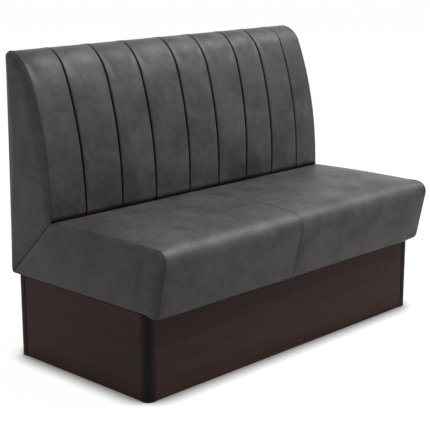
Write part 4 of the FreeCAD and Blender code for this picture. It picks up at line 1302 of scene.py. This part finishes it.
STITCH_COLUMN = 5
BACK_ROWS, SEAT_ROWS = slice(3, 72), slice(11, 100)
for label, column in (("left", STITCH_COLUMN), ("right", -1 - STITCH_COLUMN)):
    stitch_column("back_stitches_" + label, BACK_GRID, column, BACK_ROWS, (0, -1, 0.5))
for label, grid in SEAT_GRIDS.items():
    for place, column in (("side", STITCH_COLUMN), ("middle", -1 - STITCH_COLUMN)):
        stitch_column(f"seat_{place}_stitches_{label}", grid, column, SEAT_ROWS, (0, -0.5, 1))

# %% [markdown]
# ## Rounded edges on the boards
# Sawn boards and panels are never sharp. The rounding is too fine to be built into the frame, so it
# is added by a modifier, after the board's triangles are joined, and every edge catches a line of
# light.

# %% Fine rounding
ROUNDED = {"plinth_laminate": 0.0006, "frame_timber": 0.0015,
           "frame_plywood": 0.001, "rear_hardboard": 0.0004}
for row in frame["record"]["subparts"]:
    width = ROUNDED.get(row["material_slot"])
    if width:
        node = frame["nodes"][row["node"]]
        join = node.modifiers.new("join", "WELD")
        join.merge_threshold = 0.00002
        rounding = node.modifiers.new("rounding", "BEVEL")
        rounding.width = width
        rounding.segments = 2
        rounding.limit_method = "ANGLE"
        rounding.angle_limit = math.radians(50)
print("rounded the edges of", len(ROUNDED), "kinds of board")

# %% [markdown]
# ## Floor and surroundings
# The bench stands on a plain white floor. A white card would turn grey wherever the light is weak.
# So floor and world show white to the camera and to reflections, and only a soft grey to the bench.
# Where the bench stands close, the floor's white glow is dimmed: a painted shadow like the one soft light
# gives.

# %% Floor and white surroundings
FLOOR_RADIUS = 60
SHADOW_REACH = 0.105


def seen_mask(tree):
    """1 for what the camera sees, directly, in a reflection or through glass."""
    paths = tree.nodes.new("ShaderNodeLightPath")
    seen = math_node(tree, "MAXIMUM", paths.outputs["Is Camera Ray"], paths.outputs["Is Glossy Ray"])
    return math_node(tree, "MAXIMUM", seen, paths.outputs["Is Transmission Ray"])


def make_floor():
    """A wide disc of matt white that also glows, its glow dimmed near the bench as a painted shadow."""
    mesh = bpy.data.meshes.new("floor")
    turns = [k * math.tau / 64 for k in range(64)]
    ring = [(FLOOR_RADIUS * math.cos(t), FLOOR_RADIUS * math.sin(t), 0) for t in turns]
    mesh.from_pydata(ring, [], [tuple(range(64))])
    floor = bpy.data.objects.new("floor", mesh)
    bpy.context.scene.collection.objects.link(floor)
    material = bpy.data.materials.new("white_floor")
    material.use_nodes = True
    tree = material.node_tree
    tree.nodes.clear()
    lit = add(tree, "ShaderNodeBsdfDiffuse", {"Color": (0.12, 0.12, 0.12, 1)})
    # painted shadow: the glow dims where the bench closes the floor in
    shade = ranged(tree, occlusion(tree, SHADOW_REACH), 0.14, 0.97, 0.5, 0.87)
    glow = add(tree, "ShaderNodeEmission", {"Color": (1, 1, 1, 1), "Strength": shade})
    both = add(tree, "ShaderNodeAddShader", {0: lit.outputs[0], 1: glow.outputs[0]})
    plain = add(tree, "ShaderNodeBsdfDiffuse", {"Color": (0.15, 0.135, 0.13, 1)})
    parts = {0: seen_mask(tree), 1: plain.outputs[0], 2: both.outputs[0]}
    chosen = add(tree, "ShaderNodeMixShader", parts)
    out = tree.nodes.new("ShaderNodeOutputMaterial")
    tree.links.new(chosen.outputs[0], out.inputs["Surface"])
    floor.data.materials.append(material)


def make_world(strength):
    """White to the camera and to reflections, a plain soft grey to everything else."""
    world = bpy.data.worlds.new("studio")
    bpy.context.scene.world = world
    world.use_nodes = True
    tree = world.node_tree
    tree.nodes.clear()
    soft = add(tree, "ShaderNodeBackground", {"Color": (1, 1, 1, 1), "Strength": strength})
    white = add(tree, "ShaderNodeBackground", {"Color": (1, 1, 1, 1), "Strength": 1.0})
    parts = {0: seen_mask(tree), 1: soft.outputs[0], 2: white.outputs[0]}
    chosen = add(tree, "ShaderNodeMixShader", parts)
    out = tree.nodes.new("ShaderNodeOutputWorld")
    tree.links.new(chosen.outputs[0], out.inputs["Surface"])


make_floor()
make_world(0.18)
print("floor and world made")


# %% [markdown]
# ## Lamps
# One wide soft lamp hangs in front, on the right and above, and leaves the clefts their dark side. A
# weak warm one on the left keeps the ends from going black. Small lamps would give hard shadows,
# which don't suit matt cloth.

# %% Lamps
def area_lamp(name, place, aim, size, power, colour=(1, 1, 1)):
    """A square soft lamp turned towards a point."""
    data = bpy.data.lights.new(name, "AREA")
    data.size = size
    data.energy = power
    data.color = colour
    lamp = bpy.data.objects.new(name, data)
    lamp.location = place
    lamp.rotation_mode = "QUATERNION"
    lamp.rotation_quaternion = (Vector(aim) - Vector(place)).to_track_quat("-Z", "Y")
    bpy.context.scene.collection.objects.link(lamp)
    print("lamp", name, power, "W")


area_lamp("key", (3.4, -1.75, 5.4), (0.0, 0, 0.5), 3.6, 355)
area_lamp("fill", (-3.1, -0.8, 1.6), (0, 0, 0.5), 2.0, 8, (1.0, 0.86, 0.82))


# %% [markdown]
# ## Camera
# The bench is seen from its left front corner, a little from above, by a long lens that keeps its
# uprights nearly parallel. A camera could be aimed at the bench by a constraint. Place, turn and tilt
# are written as numbers instead, so that the same view comes back every time.

# %% Camera
CAMERA_PLACE = (-2.8646, -2.6882, 1.3837)
CAMERA_TURN = math.radians(-46.073)
CAMERA_TILT = math.radians(13.921)
camera_data = bpy.data.cameras.new("camera")
camera_data.lens = 99.54
camera_data.sensor_width = 36.0
camera = bpy.data.objects.new("camera", camera_data)
back_way = Vector((math.sin(CAMERA_TURN) * math.cos(CAMERA_TILT),
                   -math.cos(CAMERA_TURN) * math.cos(CAMERA_TILT), math.sin(CAMERA_TILT)))
camera.location = CAMERA_PLACE
camera.rotation_mode = "QUATERNION"
camera.rotation_quaternion = (-back_way).to_track_quat("-Z", "Y")
bpy.context.scene.collection.objects.link(camera)
bpy.context.scene.camera = camera
bpy.context.scene.view_settings.view_transform = "Standard"
print("camera turned", round(math.degrees(CAMERA_TURN), 2), "degrees and tilted",
      round(math.degrees(CAMERA_TILT), 2))
